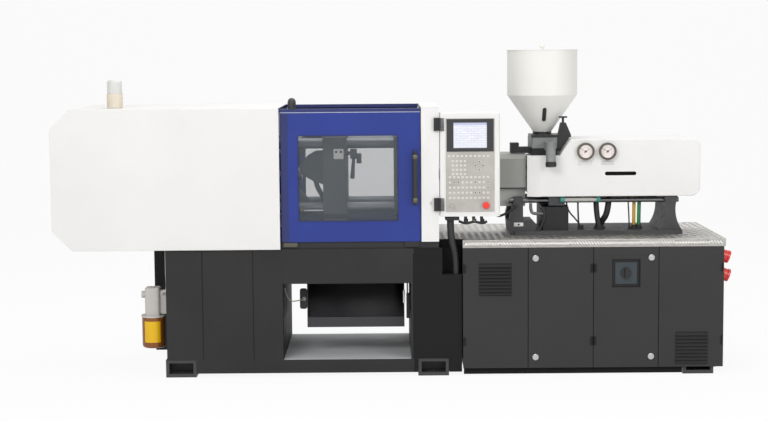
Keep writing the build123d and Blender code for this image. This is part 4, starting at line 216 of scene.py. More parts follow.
# Sides along x, y and z of the fields that have a colour of their own, some of them painted shade or painted
# light; None leaves a side open
FIELDS = {
    "hopper_plate": {"z": (None, 1.366)},
    "hopper_clamp": {"x": (0.690, 0.790), "y": (None, -0.085), "z": (None, 1.440)},
    "post_leaves": {"x": (-0.032, None), "y": (None, -0.4305), "z": (0.930, 1.475)},
    "stop_arm": {"x": (None, 0.5445)},
    "pipe_end": {"z": (None, 1.205)},
    "bed_foot": {"y": (-0.16, None), "z": (None, 1.275)},
    "drop_tray": {"x": (-0.884, -0.161), "z": (0.0992, 0.1008)},
    "base_right_shade": {"x": (-0.145, None)},
    "base_seam": {"x": (-0.148, -0.145), "z": (0.100, 0.700)},
    "window_wall_shade": {"x": (-0.887, -0.881), "y": (-0.426, 0.426), "z": (0.101, 0.540)},
    "hinge_barrels": {"y": (None, -0.4306)},
    "left_louvres": {"x": (0.222, 0.408), "z": (0.460, 0.644)},
    "right_louvres": {"x": (1.335, 1.520), "z": (0.062, 0.246)},
    "door_edge_shade": {"x": (None, -0.846)},
    "door_rollers": {"z": (None, 0.7695)},
    "steel_roller": {"x": (None, -0.60), "z": (0.7445, 0.7650)},
    "upper_rails": {"z": (1.3, None)},
    "box_glands": {"z": (None, 0.9085)},
    "middle_block": {"x": (0.598, 0.764), "z": (0.802, None)},
    "notch_fold": {"x": (None, 0.136), "y": (-0.350, -0.320), "z": (None, 0.7735)},
    "lower_tier": {"z": (None, 1.042)},
    "tier_seam": {"z": (1.037, 1.048)},
    "keys": {"y": (None, -0.4435), "z": (None, 1.270)},
    "bezel": {"y": (None, -0.4435), "z": (1.272, None)},
    "screen_head": {"z": (1.424, None)},
}

TRAY_GREY = tone(196, 198, 200)
# Black of the hinge barrels, also painted shade on the drop window's side wall
DEEP_BLACK_AND_SHADE = tone(12, 12, 12)
SEAM_BLACK = tone(14, 14, 14)
# Painted shade in the louvre slots
LOUVRE_SHADE = tone(15, 15, 15)
RECESS_BLACK = tone(26, 26, 27)
SWITCH_SLATE = tone(58, 66, 70)
ROLLER_STEEL = tone(84, 79, 70)
BED_GREY = tone(128, 130, 130)
FOOT_GREY = tone(64, 64, 66)
BLOCK_BLACK = tone(20, 20, 21)
JAR_YELLOW = tone(246, 196, 14)
# Lower tier of the barrel guard, lightened as painted light
TIER_PAINTED_LIGHT = tone(196, 197, 190)
TIER_SEAM = tone(34, 34, 32)
KEY_PALE = tone(212, 210, 206)
BEZEL_BLACK = tone(46, 46, 48)
SCREEN_TONES = {"Color1": tone(226, 227, 235), "Color2": tone(216, 218, 228), "Mortar": tone(182, 185, 204)}
SCREEN_NET = {"Scale": 1.0, "Mortar Size": 0.0007, "Brick Width": 0.040, "Row Height": 0.013}
SCREEN_HEAD = tone(186, 190, 216)
SWITCH_FIELDS = ((0.0815, RECESS_BLACK), (0.061, SWITCH_SLATE))
SWITCH_FLOOR = -0.402
JAR_HALF_SHARE, JAR_LOW_SHARE, JAR_HIGH_SHARE = 0.34, 0.20, 0.88
# The hopper's glow is painted light; the screen's glow is its own lit face
HOPPER_PAINTED_LIGHT, SCREEN_GLOW = 0.06, 0.12
# The first two shares darken the base right of the seam and the strip under the cabinet as painted shade
BASE_RIGHT_SHADE_SHARE, BASE_SHADE_SHARE, FOOT_SHARE, BAR_SHARE = 0.42, 0.33, 1.05, 1.6
TREAD_GRAIN = (30.0, 60.0, 60.0)


# Material of each finish by its name; the CAD frame has materials of its own under some of the names
MADE_FINISHES = {}


class Finish:
    """A material under way: its node tree, its surface shader and its Object coordinates."""

    def __init__(self, name):
        self.material = bpy.data.materials.new(name)
        MADE_FINISHES[name] = self.material
        self.material.use_nodes = True
        self.tree = self.material.node_tree
        self.shader = self.tree.nodes["Principled BSDF"]
        self.place = self.node("ShaderNodeTexCoord").outputs["Object"]

    def node(self, kind, **values):
        """New node of a kind, with values set on it."""
        made = self.tree.nodes.new(kind)
        for key, value in values.items():
            setattr(made, key, value)
        return made

    def join(self, source, target):
        self.tree.links.new(source, target)

    def set(self, socket, value):
        self.shader.inputs[socket].default_value = value

    def noise(self, scale, detail, stretch=None):
        """Value of a noise field over the piece, stretched along the axes where a stretch is given."""
        texture = self.node("ShaderNodeTexNoise")
        texture.inputs["Scale"].default_value = scale
        texture.inputs["Detail"].default_value = detail
        source = self.place
        if stretch:
            mapping = self.node("ShaderNodeMapping")
            mapping.inputs["Scale"].default_value = stretch
            self.join(source, mapping.inputs["Vector"])
            source = mapping.outputs["Vector"]
        self.join(source, texture.inputs["Vector"])
        return texture.outputs["Fac"]

    def spread(self, field, low=0.0, high=1.0):
        """Noise value between 0.3 and 0.7 spread over low to high."""
        ranged = self.node("ShaderNodeMapRange")
        for key, value in (("From Min", 0.3), ("From Max", 0.7), ("To Min", low), ("To Max", high)):
            ranged.inputs[key].default_value = value
        self.join(field, ranged.inputs["Value"])
        return ranged.outputs["Result"]

    def colour(self, field, first, second):
        """Base colour going from the first to the second as the field goes from 0 to 1."""
        mix = self.node("ShaderNodeMix", data_type="RGBA")
        mix.inputs["A"].default_value = (*first, 1)
        mix.inputs["B"].default_value = (*second, 1)
        self.join(field, mix.inputs["Factor"])
        self.join(mix.outputs["Result"], self.shader.inputs["Base Color"])

    def roughness(self, field, low, high):
        """Roughness between low and high along the noise field."""
        self.join(self.spread(field, low, high), self.shader.inputs["Roughness"])

    def bump(self, field, strength, distance):
        """Grain of the surface, as high as the field."""
        bump = self.node("ShaderNodeBump")
        bump.inputs["Strength"].default_value = strength
        bump.inputs["Distance"].default_value = distance
        self.join(field, bump.inputs["Height"])
        self.join(bump.outputs["Normal"], self.shader.inputs["Normal"])

    def within(self, **sides):
        """1 between the low and high sides along the axes named, and 0 outside them."""
        parts = self.node("ShaderNodeSeparateXYZ")
        self.join(self.place, parts.inputs[0])
        result = None
        for axis, limits in sides.items():
            for limit, operation in zip(limits, ("GREATER_THAN", "LESS_THAN")):
                if limit is None:
                    continue
                test = self.node("ShaderNodeMath", operation=operation)
                test.inputs[1].default_value = limit
                self.join(parts.outputs[axis.upper()], test.inputs[0])
                result = test.outputs[0] if result is None else self.both(result, test.outputs[0])
        return result

    def both(self, first, second):
        """Product of two values, which is 1 where both are 1."""
        product = self.node("ShaderNodeMath", operation="MULTIPLY")
        self.join(first, product.inputs[0])
        self.join(second, product.inputs[1])
        return product.outputs[0]

    def cover(self, field, colour):
        """Put another base colour over the one there, where the field is 1."""
        target = self.shader.inputs["Base Color"]
        mix = self.node("ShaderNodeMix", data_type="RGBA")
        mix.inputs["B"].default_value = (*colour, 1)
        self.join(target.links[0].from_socket, mix.inputs["A"])
        self.join(field, mix.inputs["Factor"])
        self.join(mix.outputs["Result"], target)

    def fields(self, colour, *names):
        """Give the fields of these names a colour of their own, for some of them painted shade or painted
        light.
        """
        for name in names:
            self.cover(self.within(**FIELDS[name]), colour)

    def glow(self, strength):
        """Let the base colour shine a little by itself."""
        self.join(self.shader.inputs["Base Color"].links[0].from_socket, self.shader.inputs["Emission Color"])
        self.set("Emission Strength", strength)


def paint(name, colour, rough=0.42, mottle=0.05, grain=0.06, grain_scale=520.0, shine=0.5):
    """Sprayed paint: slow mottling of the colour, uneven gloss and a fine orange-peel grain."""
    made = Finish(name)
    made.set("Specular IOR Level", shine)
    mottling = made.spread(made.noise(scale=2.6, detail=5.0))
    made.colour(mottling, scaled(colour, 1 - mottle), scaled(colour, 1 + mottle))
    made.roughness(made.noise(scale=9.0, detail=4.0), rough - 0.06, rough + 0.06)
    made.bump(made.noise(grain_scale, detail=2.0), grain, distance=0.0006)
    return made


def casting(name, colour, rough=0.6, metal=0.15):
    """Painted casting: coarse sand texture under the paint and darker patches."""
    made = Finish(name)
    made.set("Metallic", metal)
    patches = made.spread(made.noise(scale=7.0, detail=6.0))
    made.colour(patches, scaled(colour, 0.82), scaled(colour, 1.15))
    made.roughness(made.noise(scale=30.0, detail=4.0), rough - 0.1, rough + 0.1)
    made.bump(made.noise(scale=160.0, detail=5.0), strength=0.22, distance=0.0012)
    return made


def brushed(name, colour, rough=0.32, along=(6.0, 380.0, 380.0)):
    """Brushed metal: noise drawn out into fine lines along one axis, in colour, gloss and height."""
    made = Finish(name)
    made.set("Metallic", 1.0)
    lines = made.noise(scale=1.0, detail=4.0, stretch=along)
    made.colour(made.spread(lines), scaled(colour, 0.84), scaled(colour, 1.08))
    made.roughness(lines, rough - 0.07, rough + 0.09)
    made.bump(lines, strength=0.08, distance=0.0004)
    return made


def moulding(name, colour, rough=0.5, coat=0.0):
    """Moulded plastic or rubber: a faint fine texture and slightly uneven gloss."""
    made = Finish(name)
    made.set("Coat Weight", coat)
    clouds = made.spread(made.noise(scale=12.0, detail=3.0))
    made.colour(clouds, scaled(colour, 0.9), scaled(colour, 1.1))
    made.roughness(made.noise(scale=60.0, detail=3.0), rough - 0.05, rough + 0.05)
    made.bump(made.noise(scale=900.0, detail=2.0), strength=0.05, distance=0.0003)
    return made


def pane(name, colour, alpha, rough=0.06):
    """Clear sheet: a tinted gloss surface that lets most light through, with faint smears in its gloss."""
    made = Finish(name)
    made.set("Alpha", alpha)
    clouds = made.spread(made.noise(scale=4.0, detail=3.0))
    made.colour(clouds, scaled(colour, 0.94), scaled(colour, 1.06))
    made.roughness(made.noise(scale=14.0, detail=5.0), rough, rough + 0.05)
    return made


def hopper_zones(c):
    """Painted hopper whose plate and clamp block are black, with a faint glow of painted light that evens out
    its shading.
    """
    made = paint("hopper_zones", c.hopper_paint, rough=0.4, mottle=0.02, grain=0.04)
    made.fields(c.track_black, "hopper_plate", "hopper_clamp")
    # Painted light: a faint glow over the hopper's paint that lifts its shaded edges
    made.glow(HOPPER_PAINTED_LIGHT)


def guard_paint(name, c):
    """White paint of the guards, covers and posts."""
    return paint(name, c.guard_white, rough=0.38, mottle=0.02, grain=0.05)


def bed_casting(c):
    """Grey hopper bed whose stop arm, foot and pipe end are black."""
    casting("bed_casting", BED_GREY).fields(c.track_black, "stop_arm", "pipe_end", "bed_foot")


def base_paint(name, colour):
    """Dull dark paint of the clamp base."""
    return paint(name, colour, rough=0.6, mottle=0.10, grain=0.10, grain_scale=420.0, shine=0.1)


def base_zones(c):
    """Dark base paint with painted shade: darker right of the seam where the base stands back, and deep black
    on the drop window's side wall; the window's floor is pale grey.
    """
    made = base_paint("base_grey", c.base_grey)
    made.fields(TRAY_GREY, "drop_tray")
    # Painted shade: the base right of the seam, which stands back in shade
    made.fields(scaled(c.base_grey, BASE_RIGHT_SHADE_SHARE), "base_right_shade")
    made.fields(SEAM_BLACK, "base_seam")
    # Painted shade: deep black on the drop window's side wall
    made.fields(DEEP_BLACK_AND_SHADE, "window_wall_shade")


def cabinet_paint(name, c):
    """Dark cabinet paint; the hinge barrels that stand out of the doors' face are black."""
    made = paint(name, c.cabinet_grey, rough=0.5, mottle=0.06, grain=0.09, grain_scale=420.0, shine=0.3)
    made.fields(DEEP_BLACK_AND_SHADE, "hinge_barrels")
    return made


def switch_door(c):
    """Cabinet paint with the black recess and the slate plate of the main switch, square about the switch."""
    made = cabinet_paint("switch_door", c)
    low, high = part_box("main_switch")
    x, z = (low[0] + high[0]) / 2, (low[2] + high[2]) / 2
    for half, colour in SWITCH_FIELDS:
        sides = {"x": (x - half, x + half), "y": (None, SWITCH_FLOOR), "z": (z - half, z + half)}
        made.cover(made.within(**sides), colour)


def door_zones(c):
    """Blue door with a navy strip at its left edge as painted shade of the guard, a steel roller block and a
    black one.
    """
    made = paint("door_zones", c.door_blue, rough=0.36, mottle=0.08, grain=0.05)
    # Painted shade: the guard's shadow on the door's left edge, in rail navy
    made.fields(c.rail_navy, "door_edge_shade")
    made.fields(c.track_black, "door_rollers")
    made.fields(ROLLER_STEEL, "steel_roller")


def jar_zones(c):
    """Amber jar with a plain yellow field on its front."""
    made = pane("amber", c.amber, alpha=0.86, rough=0.2)
    low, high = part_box("lube_reservoir")
    middle, reach = (low[0] + high[0]) / 2, JAR_HALF_SHARE * (high[0] - low[0])
    heights = [low[2] + share * (high[2] - low[2]) for share in (JAR_LOW_SHARE, JAR_HIGH_SHARE)]
    sides = {"x": (middle - reach, middle + reach), "y": (None, (low[1] + high[1]) / 2), "z": heights}
    made.cover(made.within(**sides), JAR_YELLOW)


def jacket_zones(c):
    """Barrel guard in two tiers, the lower one painted paler as painted light that lifts the shade it lies
    in, with the dark seam between them.
    """
    made = paint("jacket_olive", c.jacket_olive, rough=0.45, mottle=0.08, grain=0.08)
    # Painted light: the lower tier is lightened against the shade that falls on it
    made.fields(TIER_PAINTED_LIGHT, "lower_tier")
    made.fields(TIER_SEAM, "tier_seam")


def fascia_zones(c):
    """Beige-grey fascia with paler keys and a black bezel, told apart by how far they stand out."""
    made = moulding("fascia_grey", c.fascia_grey, rough=0.4)
    made.fields(KEY_PALE, "keys")
    made.fields(BEZEL_BLACK, "bezel")


def screen_finish():
    """Lit screen: pale lavender with a darker head strip and a faint net of fields."""
    made = Finish("screen")
    net = made.node("ShaderNodeTexBrick")
    for key, value in SCREEN_NET.items():
        net.inputs[key].default_value = value
    for key, value in SCREEN_TONES.items():
        net.inputs[key].default_value = (*value, 1)
    turn = made.node("ShaderNodeMapping")
    turn.inputs["Rotation"].default_value = (math.radians(90), 0, 0)
    made.join(made.place, turn.inputs["Vector"])
    made.join(turn.outputs["Vector"], net.inputs["Vector"])
    made.join(net.outputs["Color"], made.shader.inputs["Base Color"])
    made.fields(SCREEN_HEAD, "screen_head")
    made.glow(SCREEN_GLOW)
    made.set("Roughness", 0.25)


# Values that a user would change


def colour_value(name, description, default):
    return bpy.props.FloatVectorProperty(
        name=name, description=description, default=default, subtype="COLOR", size=3, min=0.0, max=1.0
    )


def length_value(name, description, default):
    return bpy.props.FloatProperty(
        name=name, description=description, default=default, unit="LENGTH", min=0.0
    )


class MachineColours(bpy.types.PropertyGroup):
    """Colours of the machine's finishes."""

    guard_white: colour_value("Guard white", "Paint of the guards and covers", tone(232, 231, 229))
    door_blue: colour_value("Door blue", "Paint of the sliding doors", tone(24, 48, 132))
    # Rail navy also paints the guard's shade on the front door's left edge
    rail_navy: colour_value("Rail navy", "Paint of the upper rails and the door's edge", tone(30, 40, 98))
    base_grey: colour_value("Base grey", "Paint of the clamp base and the feet", tone(55, 54, 54))
    cabinet_grey: colour_value("Cabinet grey", "Paint of the cabinet and its doors", tone(48, 47, 47))
    track_black: colour_value("Track black", "Paint of the door tracks and small arms", tone(24, 24, 26))
    chute_grey: colour_value("Chute grey", "Paint of the drop chute", tone(49, 49, 52))
    casting_grey: colour_value("Casting grey", "Paint of the platens and castings", tone(64, 66, 68))
    jacket_olive: colour_value("Jacket grey", "Paint of the barrel guard", tone(150, 151, 145))
    pump_grey: colour_value("Pump grey", "Paint of the grease pump", tone(196, 192, 187))
    bright_steel: colour_value("Bright steel", "Ground bars, rods and plated parts", tone(196, 196, 198))
    hopper_paint: colour_value("Hopper", "Paint of the hopper", tone(230, 229, 224))
    tread_metal: colour_value("Tread plate", "Bare aluminium of the tread plate", tone(172, 170, 166))
    smoke: colour_value("Window", "Tint of the door windows", tone(120, 128, 134))
    amber: colour_value("Amber", "Tint of the grease reservoir", tone(142, 84, 34))
    black_plastic: colour_value("Black plastic", "Handle, conduit and knobs", tone(22, 22, 23))
    beige: colour_value("Beige", "Lamp base", tone(226, 216, 198))
    fascia_grey: colour_value("Fascia grey", "Membrane of the control box", tone(180, 176, 170))
    signal_red: colour_value("Signal red", "Emergency stop and sockets", tone(234, 52, 45))
    dial_white: colour_value("Dial white", "Faces of the gauges", tone(232, 222, 218))
    gauge_rim: colour_value("Gauge rim", "Rims of the gauges", tone(104, 97, 88))
    floor_pale: colour_value("Floor", "Pale floor of the stage", tone(242, 242, 242))


class MachineSizes(bpy.types.PropertyGroup):
    """Sizes of the conduit and the stage."""

    conduit_diameter: length_value("Conduit", "Outer diameter of the control box conduit", 0.040)
    camera_height: length_value("Camera height", "Height of the camera above the floor", 1.832)
    camera_distance: length_value("Camera distance", "Distance from the camera to the guard's front", 8.95)
    stage_reach: length_value("Stage", "Half width of the floor", 14.0)


def colours():
    return bpy.context.scene.machine_colours


def sizes():
    return bpy.context.scene.machine_sizes


NODE_FINISHES = {
    "guard_white": ("clamp_guard_front", "clamp_guard_rear", "clamp_guard_cover", "injection_cover"),
    "door_blue": ("rear_door",),
    "door_zones": ("front_door",),
    "rail_zones": ("door_rails",),
    "box_white": ("control_box",),
    "rod_steel": ("guide_rods",),
    "vent_door": ("cabinet_door_1", "cabinet_door_4"),
    "switch_door": ("cabinet_door_3",),
    "base_grey": ("clamp_base",),
    "foot_grey": ("feet",),
    "cabinet_grey": ("cabinet_frame", "cabinet_door_2"),
    "post_white": ("platen_covers",),
    "bed_casting": ("hopper_bed",),
    "foot_casting": ("injection_base",),
    "hopper_zones": ("hopper",),
    "chute_grey": ("drop_chute",),
    "track_black": ("clamp_screw",),
    "jacket_olive": ("barrel_guard",),
    "pump_grey": ("lube_pump",),
    "casting_grey": ("rear_platen", "moving_platen", "fixed_platen", "injection_carriage", "screw_motor",
                     "clamp_cylinder", "crosshead", "upper_rear_link", "lower_rear_link",
                     "upper_front_link", "lower_front_link"),
    "bar_steel": ("tie_bars",),
    "bright_steel": ("ejector", "barrel", "screw", "electrical_panel", "key_switch",
                     *(f"door_latch_{number}" for number in range(1, 5))),
    "hopper_paint": ("hopper_lid",),
    "tread_metal": ("tread_plate",),
    "smoke": ("front_door_window", "rear_door_window"),
    "lens": ("beacon_lens",),
    "amber": ("lube_reservoir",),
    "black_plastic": ("front_door_handle", "control_conduit", "cable_arch", "main_switch"),
    "beige": ("beacon_base",),
    "fascia_grey": ("control_fascia",),
    "signal_red": ("emergency_stop", "sockets"),
    "gauge_rim": ("gauges",),
}


def make_paints(c):
    """Painted sheet and castings, from the colours of the property group."""
    guard_paint("guard_white", c)
    guard_paint("post_white", c).fields(c.track_black, "post_leaves")
    guard_paint("box_white", c).fields(c.track_black, "box_glands")
    paint("door_blue", c.door_blue, rough=0.36, mottle=0.08, grain=0.05)
    paint("rail_navy", c.rail_navy, rough=0.4, mottle=0.08, grain=0.05)
    paint("foot_grey", scaled(c.base_grey, FOOT_SHARE), rough=0.5, mottle=0.10, grain=0.10)
    paint("chute_grey", c.chute_grey, rough=0.42, mottle=0.12, grain=0.08)
    paint("track_black", c.track_black, rough=0.48, mottle=0.12, grain=0.08)
    paint("rail_zones", c.track_black, rough=0.48, mottle=0.12, grain=0.08).fields(c.rail_navy, "upper_rails")
    paint("pump_grey", c.pump_grey, rough=0.45, mottle=0.06, grain=0.08)
    paint("hopper_paint", c.hopper_paint, rough=0.4, mottle=0.02, grain=0.04)
    # Painted shade: base paint darkened for the strip under the cabinet
    base_paint("base_shade", scaled(c.base_grey, BASE_SHADE_SHARE))
    cabinet_paint("cabinet_grey", c)
    # Painted shade: near black over the louvre slots of cabinet doors 1 and 4
    cabinet_paint("vent_door", c).fields(LOUVRE_SHADE, "left_louvres", "right_louvres")
    casting("casting_grey", c.casting_grey)
    casting("foot_casting", FOOT_GREY).fields(BLOCK_BLACK, "middle_block")
    casting("gauge_rim", c.gauge_rim, rough=0.4, metal=0.5)
    for zones in (base_zones, hopper_zones, bed_casting, switch_door, door_zones, jacket_zones):
        zones(c)


def make_metals(c):
    """Bare metals, from the colours of the property group."""
    brushed("bright_steel", c.bright_steel)
    brushed("rod_steel", tone(112, 112, 114), rough=0.3)
    brushed("brass", tone(150, 128, 84), rough=0.35)
    brushed("bar_steel", tone(118, 119, 122), rough=0.52)
    brushed("collar_steel", tone(108, 104, 88), rough=0.5)
    brushed("tread_bar", scaled(c.tread_metal, BAR_SHARE), rough=0.34, along=TREAD_GRAIN)
    brushed("tread_metal", c.tread_metal, rough=0.42, along=TREAD_GRAIN).fields(c.track_black, "notch_fold")


def make_plastics(c):
    """Plastics, rubber and clear sheets, from the colours of the property group."""
    # Painted highlight: pale strip on the front door's top edge
    moulding("edge_highlight", tone(168, 176, 196), rough=0.35)
    moulding("bezel", BEZEL_BLACK, rough=0.35)
    moulding("lead_grey", tone(132, 134, 122), rough=0.45)
    moulding("ink", tone(40, 38, 38))
    moulding("plate_pale", tone(214, 213, 210), rough=0.4)
    moulding("rubber", tone(30, 30, 31), rough=0.55)
    moulding("tube_yellow", tone(196, 150, 40), rough=0.35, coat=0.2)
    moulding("tube_green", tone(30, 120, 66), rough=0.35, coat=0.2)
    moulding("fitting_green", tone(60, 140, 124), rough=0.35)
    moulding("black_plastic", c.black_plastic, rough=0.42)
    moulding("beige", c.beige, rough=0.45)
    moulding("signal_red", c.signal_red, rough=0.3, coat=0.3)
    moulding("dial_white", c.dial_white, rough=0.35)
    pane("clear_tube", tone(214, 214, 208), alpha=0.55, rough=0.1)
    pane("smoke", c.smoke, alpha=0.20)
    pane("lens", tone(242, 242, 240), alpha=0.62, rough=0.15)
    jar_zones(c)
    fascia_zones(c)
    screen_finish()


def finish(name):
    """Material of a name: the CAD frame's own where it has that name, otherwise the finish made here."""
    found = bpy.data.materials.get(name)
    if found is None:
        raise RuntimeError(f"there is no finish named {name}; run the finishes first")
    return found


class FinishNodes(bpy.types.Operator):
    """Make the finishes and give every CAD node its own."""

    bl_idname = "machine.finishes"
    bl_label = "Finishes"

    def execute(self, context):
        for make in (make_paints, make_metals, make_plastics):
            make(colours())
        for name, nodes in NODE_FINISHES.items():
            for node in nodes:
                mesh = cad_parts[node].data
                mesh.materials.clear()
                mesh.materials.append(MADE_FINISHES[name])
        return {"FINISHED"}


# Small pieces


ALONG, OUT, UP, DOWN = (1.0, 0.0, 0.0), (0.0, -1.0, 0.0), (0.0, 0.0, 1.0), (0.0, 0.0, -1.0)
FRONT = (ALONG, UP)


def front_plate(x, z, y, depth, radius, edge=0.0):
    """Rounded plate on a front face at y: x and z give its sides, and it stands out by the depth."""
    centre = ((x[0] + x[1]) / 2, y, (z[0] + z[1]) / 2)
    return slab(centre, *FRONT, x[1] - x[0], z[1] - z[0], depth, radius, edge)


def front_disc(x, z, y, radius, depth, edge=0.0, sides=32):
    """Disc on a front face at y, turned about the line towards the viewer, with a drawn-in rim."""
    profile = [(radius, 0.0), (radius, depth - edge), (radius - edge, depth)]
    return turned(profile, (x, y, z), OUT, sides)


def rod(place, direction, radius, length, sides=32):
    """Plain round bar: one radius turned about the axis from the place over the length."""
    return turned([(radius, 0.0), (radius, length)], place, direction, sides)


def collar(place, direction, radius, half, draw, step, sides=32):
    """Ring about a place, turned from a profile that is drawn in at both ends, over a short step."""
    profile = [(radius - draw, -half), (radius, step - half), (radius, half - step), (radius - draw, half)]
    return turned(profile, place, direction, sides)


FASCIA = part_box("control_fascia")[0]
KEY_RISE, MARK_RISE = 0.003, 0.0015
FASCIA_Y = FASCIA[1] + KEY_RISE
SCREEN_X, SCREEN_Z = (0.043, 0.230), (0.359, 0.501)
SCREEN_DEPTH, SCREEN_CORNER = 0.0004, 0.001
MARK_RADIUS, MARK_DEPTH, MARK_EDGE = 0.0042, 0.0008, 0.0003
# Places of the marks from the fascia's lower left corner
DARK_MARKS = ((0.187, 0.282), (0.165, 0.260), (0.209, 0.260), (0.187, 0.238), (0.047, 0.167), (0.070, 0.167),
              (0.165, 0.167), (0.236, 0.167), (0.236, 0.138), (0.165, 0.108), (0.189, 0.108))


class ControlFace(bpy.types.Operator):
    """Make the lit screen and the dark key marks of the control box."""

    bl_idname = "machine.control_face"
    bl_label = "Control face"

    def execute(self, context):
        left, low = FASCIA[0], FASCIA[2]
        sides = [left + x for x in SCREEN_X], [low + z for z in SCREEN_Z]
        piece("screen", front_plate(*sides, FASCIA_Y, SCREEN_DEPTH, SCREEN_CORNER), "screen", "control_box")
        marks = [front_disc(left + x, low + z, FASCIA_Y - MARK_RISE, MARK_RADIUS, MARK_DEPTH, MARK_EDGE, 12)
                 for x, z in DARK_MARKS]
        piece("key_marks", joined(*marks), "bezel", "control_box")
        return {"FINISHED"}


GAUGE_LOW, GAUGE_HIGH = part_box("gauges")
GAUGE_RADIUS = (GAUGE_HIGH[2] - GAUGE_LOW[2]) / 2
GAUGE_X = GAUGE_LOW[0] + GAUGE_RADIUS, GAUGE_HIGH[0] - GAUGE_RADIUS
GAUGE_Z = GAUGE_LOW[2] + GAUGE_RADIUS
DIAL_Y, DIAL_RADIUS, DIAL_DEPTH = GAUGE_LOW[1] + 0.0065, 0.0435, 0.0006
# Radius, long and short length, and count of the outer ticks; radius, length and count of the inner ones
OUTER_TICKS, INNER_TICKS = (0.0330, 0.0060, 0.0035, 31), (0.0240, 0.0020, 46)
TICK_HALF, TICK_LIFT, LONG_TICK_STEP = 0.00055, 0.0010, 5
SCALE_TURN = np.array([-0.25, 1.25]) * np.pi
GAUGE_RIM = ((0.0372, 0.0008), (0.0400, 0.0042), (0.0440, 0.0040), (0.0440, 0.0002))
NEEDLE_TURN, NEEDLE_LIFT = math.radians(38), 0.0022
NEEDLE_TAIL, NEEDLE_TIP = (-0.011, 0.0018), (0.030, 0.0004)
HUB_LIFT, HUB_RADIUS, HUB_DEPTH, HUB_EDGE = 0.0006, 0.0042, 0.0026, 0.0008
CAPTION_X, CAPTION_Z = ((0.807, 0.888), (0.940, 1.014)), (1.179, 1.202)
CAPTION_DEPTH, CAPTION_CORNER, CAPTION_EDGE = 0.0010, 0.002, 0.0003


class Gauges(bpy.types.Operator):
    """Make the pale dials with their ticks, rims and needles, and the bare plates under them."""

    bl_idname = "machine.gauges"
    bl_label = "Gauges"

    def execute(self, context):
        dials = [front_disc(x, GAUGE_Z, DIAL_Y, DIAL_RADIUS, DIAL_DEPTH) for x in GAUGE_X]
        piece("gauge_dials", joined(*dials), "dial_white", "carriage")
        ticks = joined(*self.outer_ticks(), *self.inner_ticks())
        piece("gauge_ticks", ticks, "ink", "carriage", smooth=False)
        rims = [turned(GAUGE_RIM, (x, DIAL_Y, GAUGE_Z), OUT, 40) for x in GAUGE_X]
        piece("gauge_rings", joined(*(self.open_ring(*rim) for rim in rims)), "gauge_rim", "carriage")
        piece("gauge_needles", joined(*(self.needle(x) for x in GAUGE_X)), "ink", "carriage")
        plates = [front_plate(x, CAPTION_Z, GAUGE_HIGH[1], CAPTION_DEPTH, CAPTION_CORNER, CAPTION_EDGE)
                  for x in CAPTION_X]
        piece("caption_plates", joined(*plates), "plate_pale", "carriage")
        return {"FINISHED"}

    def outer_ticks(self):
        """Ticks at even turns round each dial, every fifth one long."""
        radius, long, short, count = OUTER_TICKS
        return [self.tick(x, turn, radius, short if number % LONG_TICK_STEP else long)
                for x in GAUGE_X for number, turn in enumerate(np.linspace(*SCALE_TURN, count))]

    def inner_ticks(self):
        """Short ticks at even turns round each dial."""
        radius, length, count = INNER_TICKS
        turns = np.linspace(*SCALE_TURN, count)
        return [self.tick(x, turn, radius, length) for x in GAUGE_X for turn in turns]

    def wedge(self, x, turn, lift, tail, tip):
        """Flat quad on the dial: from the tail to the tip, each a (distance from the dial's centre, half
        width) pair, along the direction of the turn."""
        out = np.array([math.cos(turn), 0.0, math.sin(turn)])
        side = np.array([-math.sin(turn), 0.0, math.cos(turn)])
        centre = np.array([x, DIAL_Y - lift, GAUGE_Z])
        corners = [centre + out * reach + side * half * sign
                   for (reach, half), signs in ((tail, (-1, 1)), (tip, (1, -1))) for sign in signs]
        return np.array(corners), [(0, 1, 2, 3)]

    def tick(self, x, turn, radius, length):
        """Thin quad about the radius, pointing outwards."""
        ends = [(radius + length / 2 * sign, TICK_HALF) for sign in (-1, 1)]
        return self.wedge(x, turn, TICK_LIFT, *ends)

    def open_ring(self, points, faces):
        """A turned shape without the two fans that close it, so that the dial shows through it."""
        return points, [face for face in faces if len(face) == 4]

    def needle(self, x):
        """Slim wedge from behind the hub to a point near the ticks, with a round hub."""
        hub = front_disc(x, GAUGE_Z, DIAL_Y - HUB_LIFT, HUB_RADIUS, HUB_DEPTH, HUB_EDGE, 16)
        return joined(self.wedge(x, NEEDLE_TURN, NEEDLE_LIFT, NEEDLE_TAIL, NEEDLE_TIP), hub)


HOPPER_LOW, HOPPER_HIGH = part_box("hopper")
HOPPER_X, DRUM_RADIUS = (HOPPER_LOW[0] + HOPPER_HIGH[0]) / 2, (HOPPER_HIGH[0] - HOPPER_LOW[0]) / 2
CONE_Z, CONE_RADII = (1.367, 1.579), (0.055, DRUM_RADIUS)
SIGHT_Z, SIGHT_HALF, SIGHT_CORNER = (1.428, 1.508), 0.0115, 0.011
SIGHT_MARGIN, FRAME_LIFT, GLASS_LIFT = 0.007, 0.0022, 0.0028
SIGHT_SINK, SIGHT_EDGE_SHARE = -0.001, 0.985


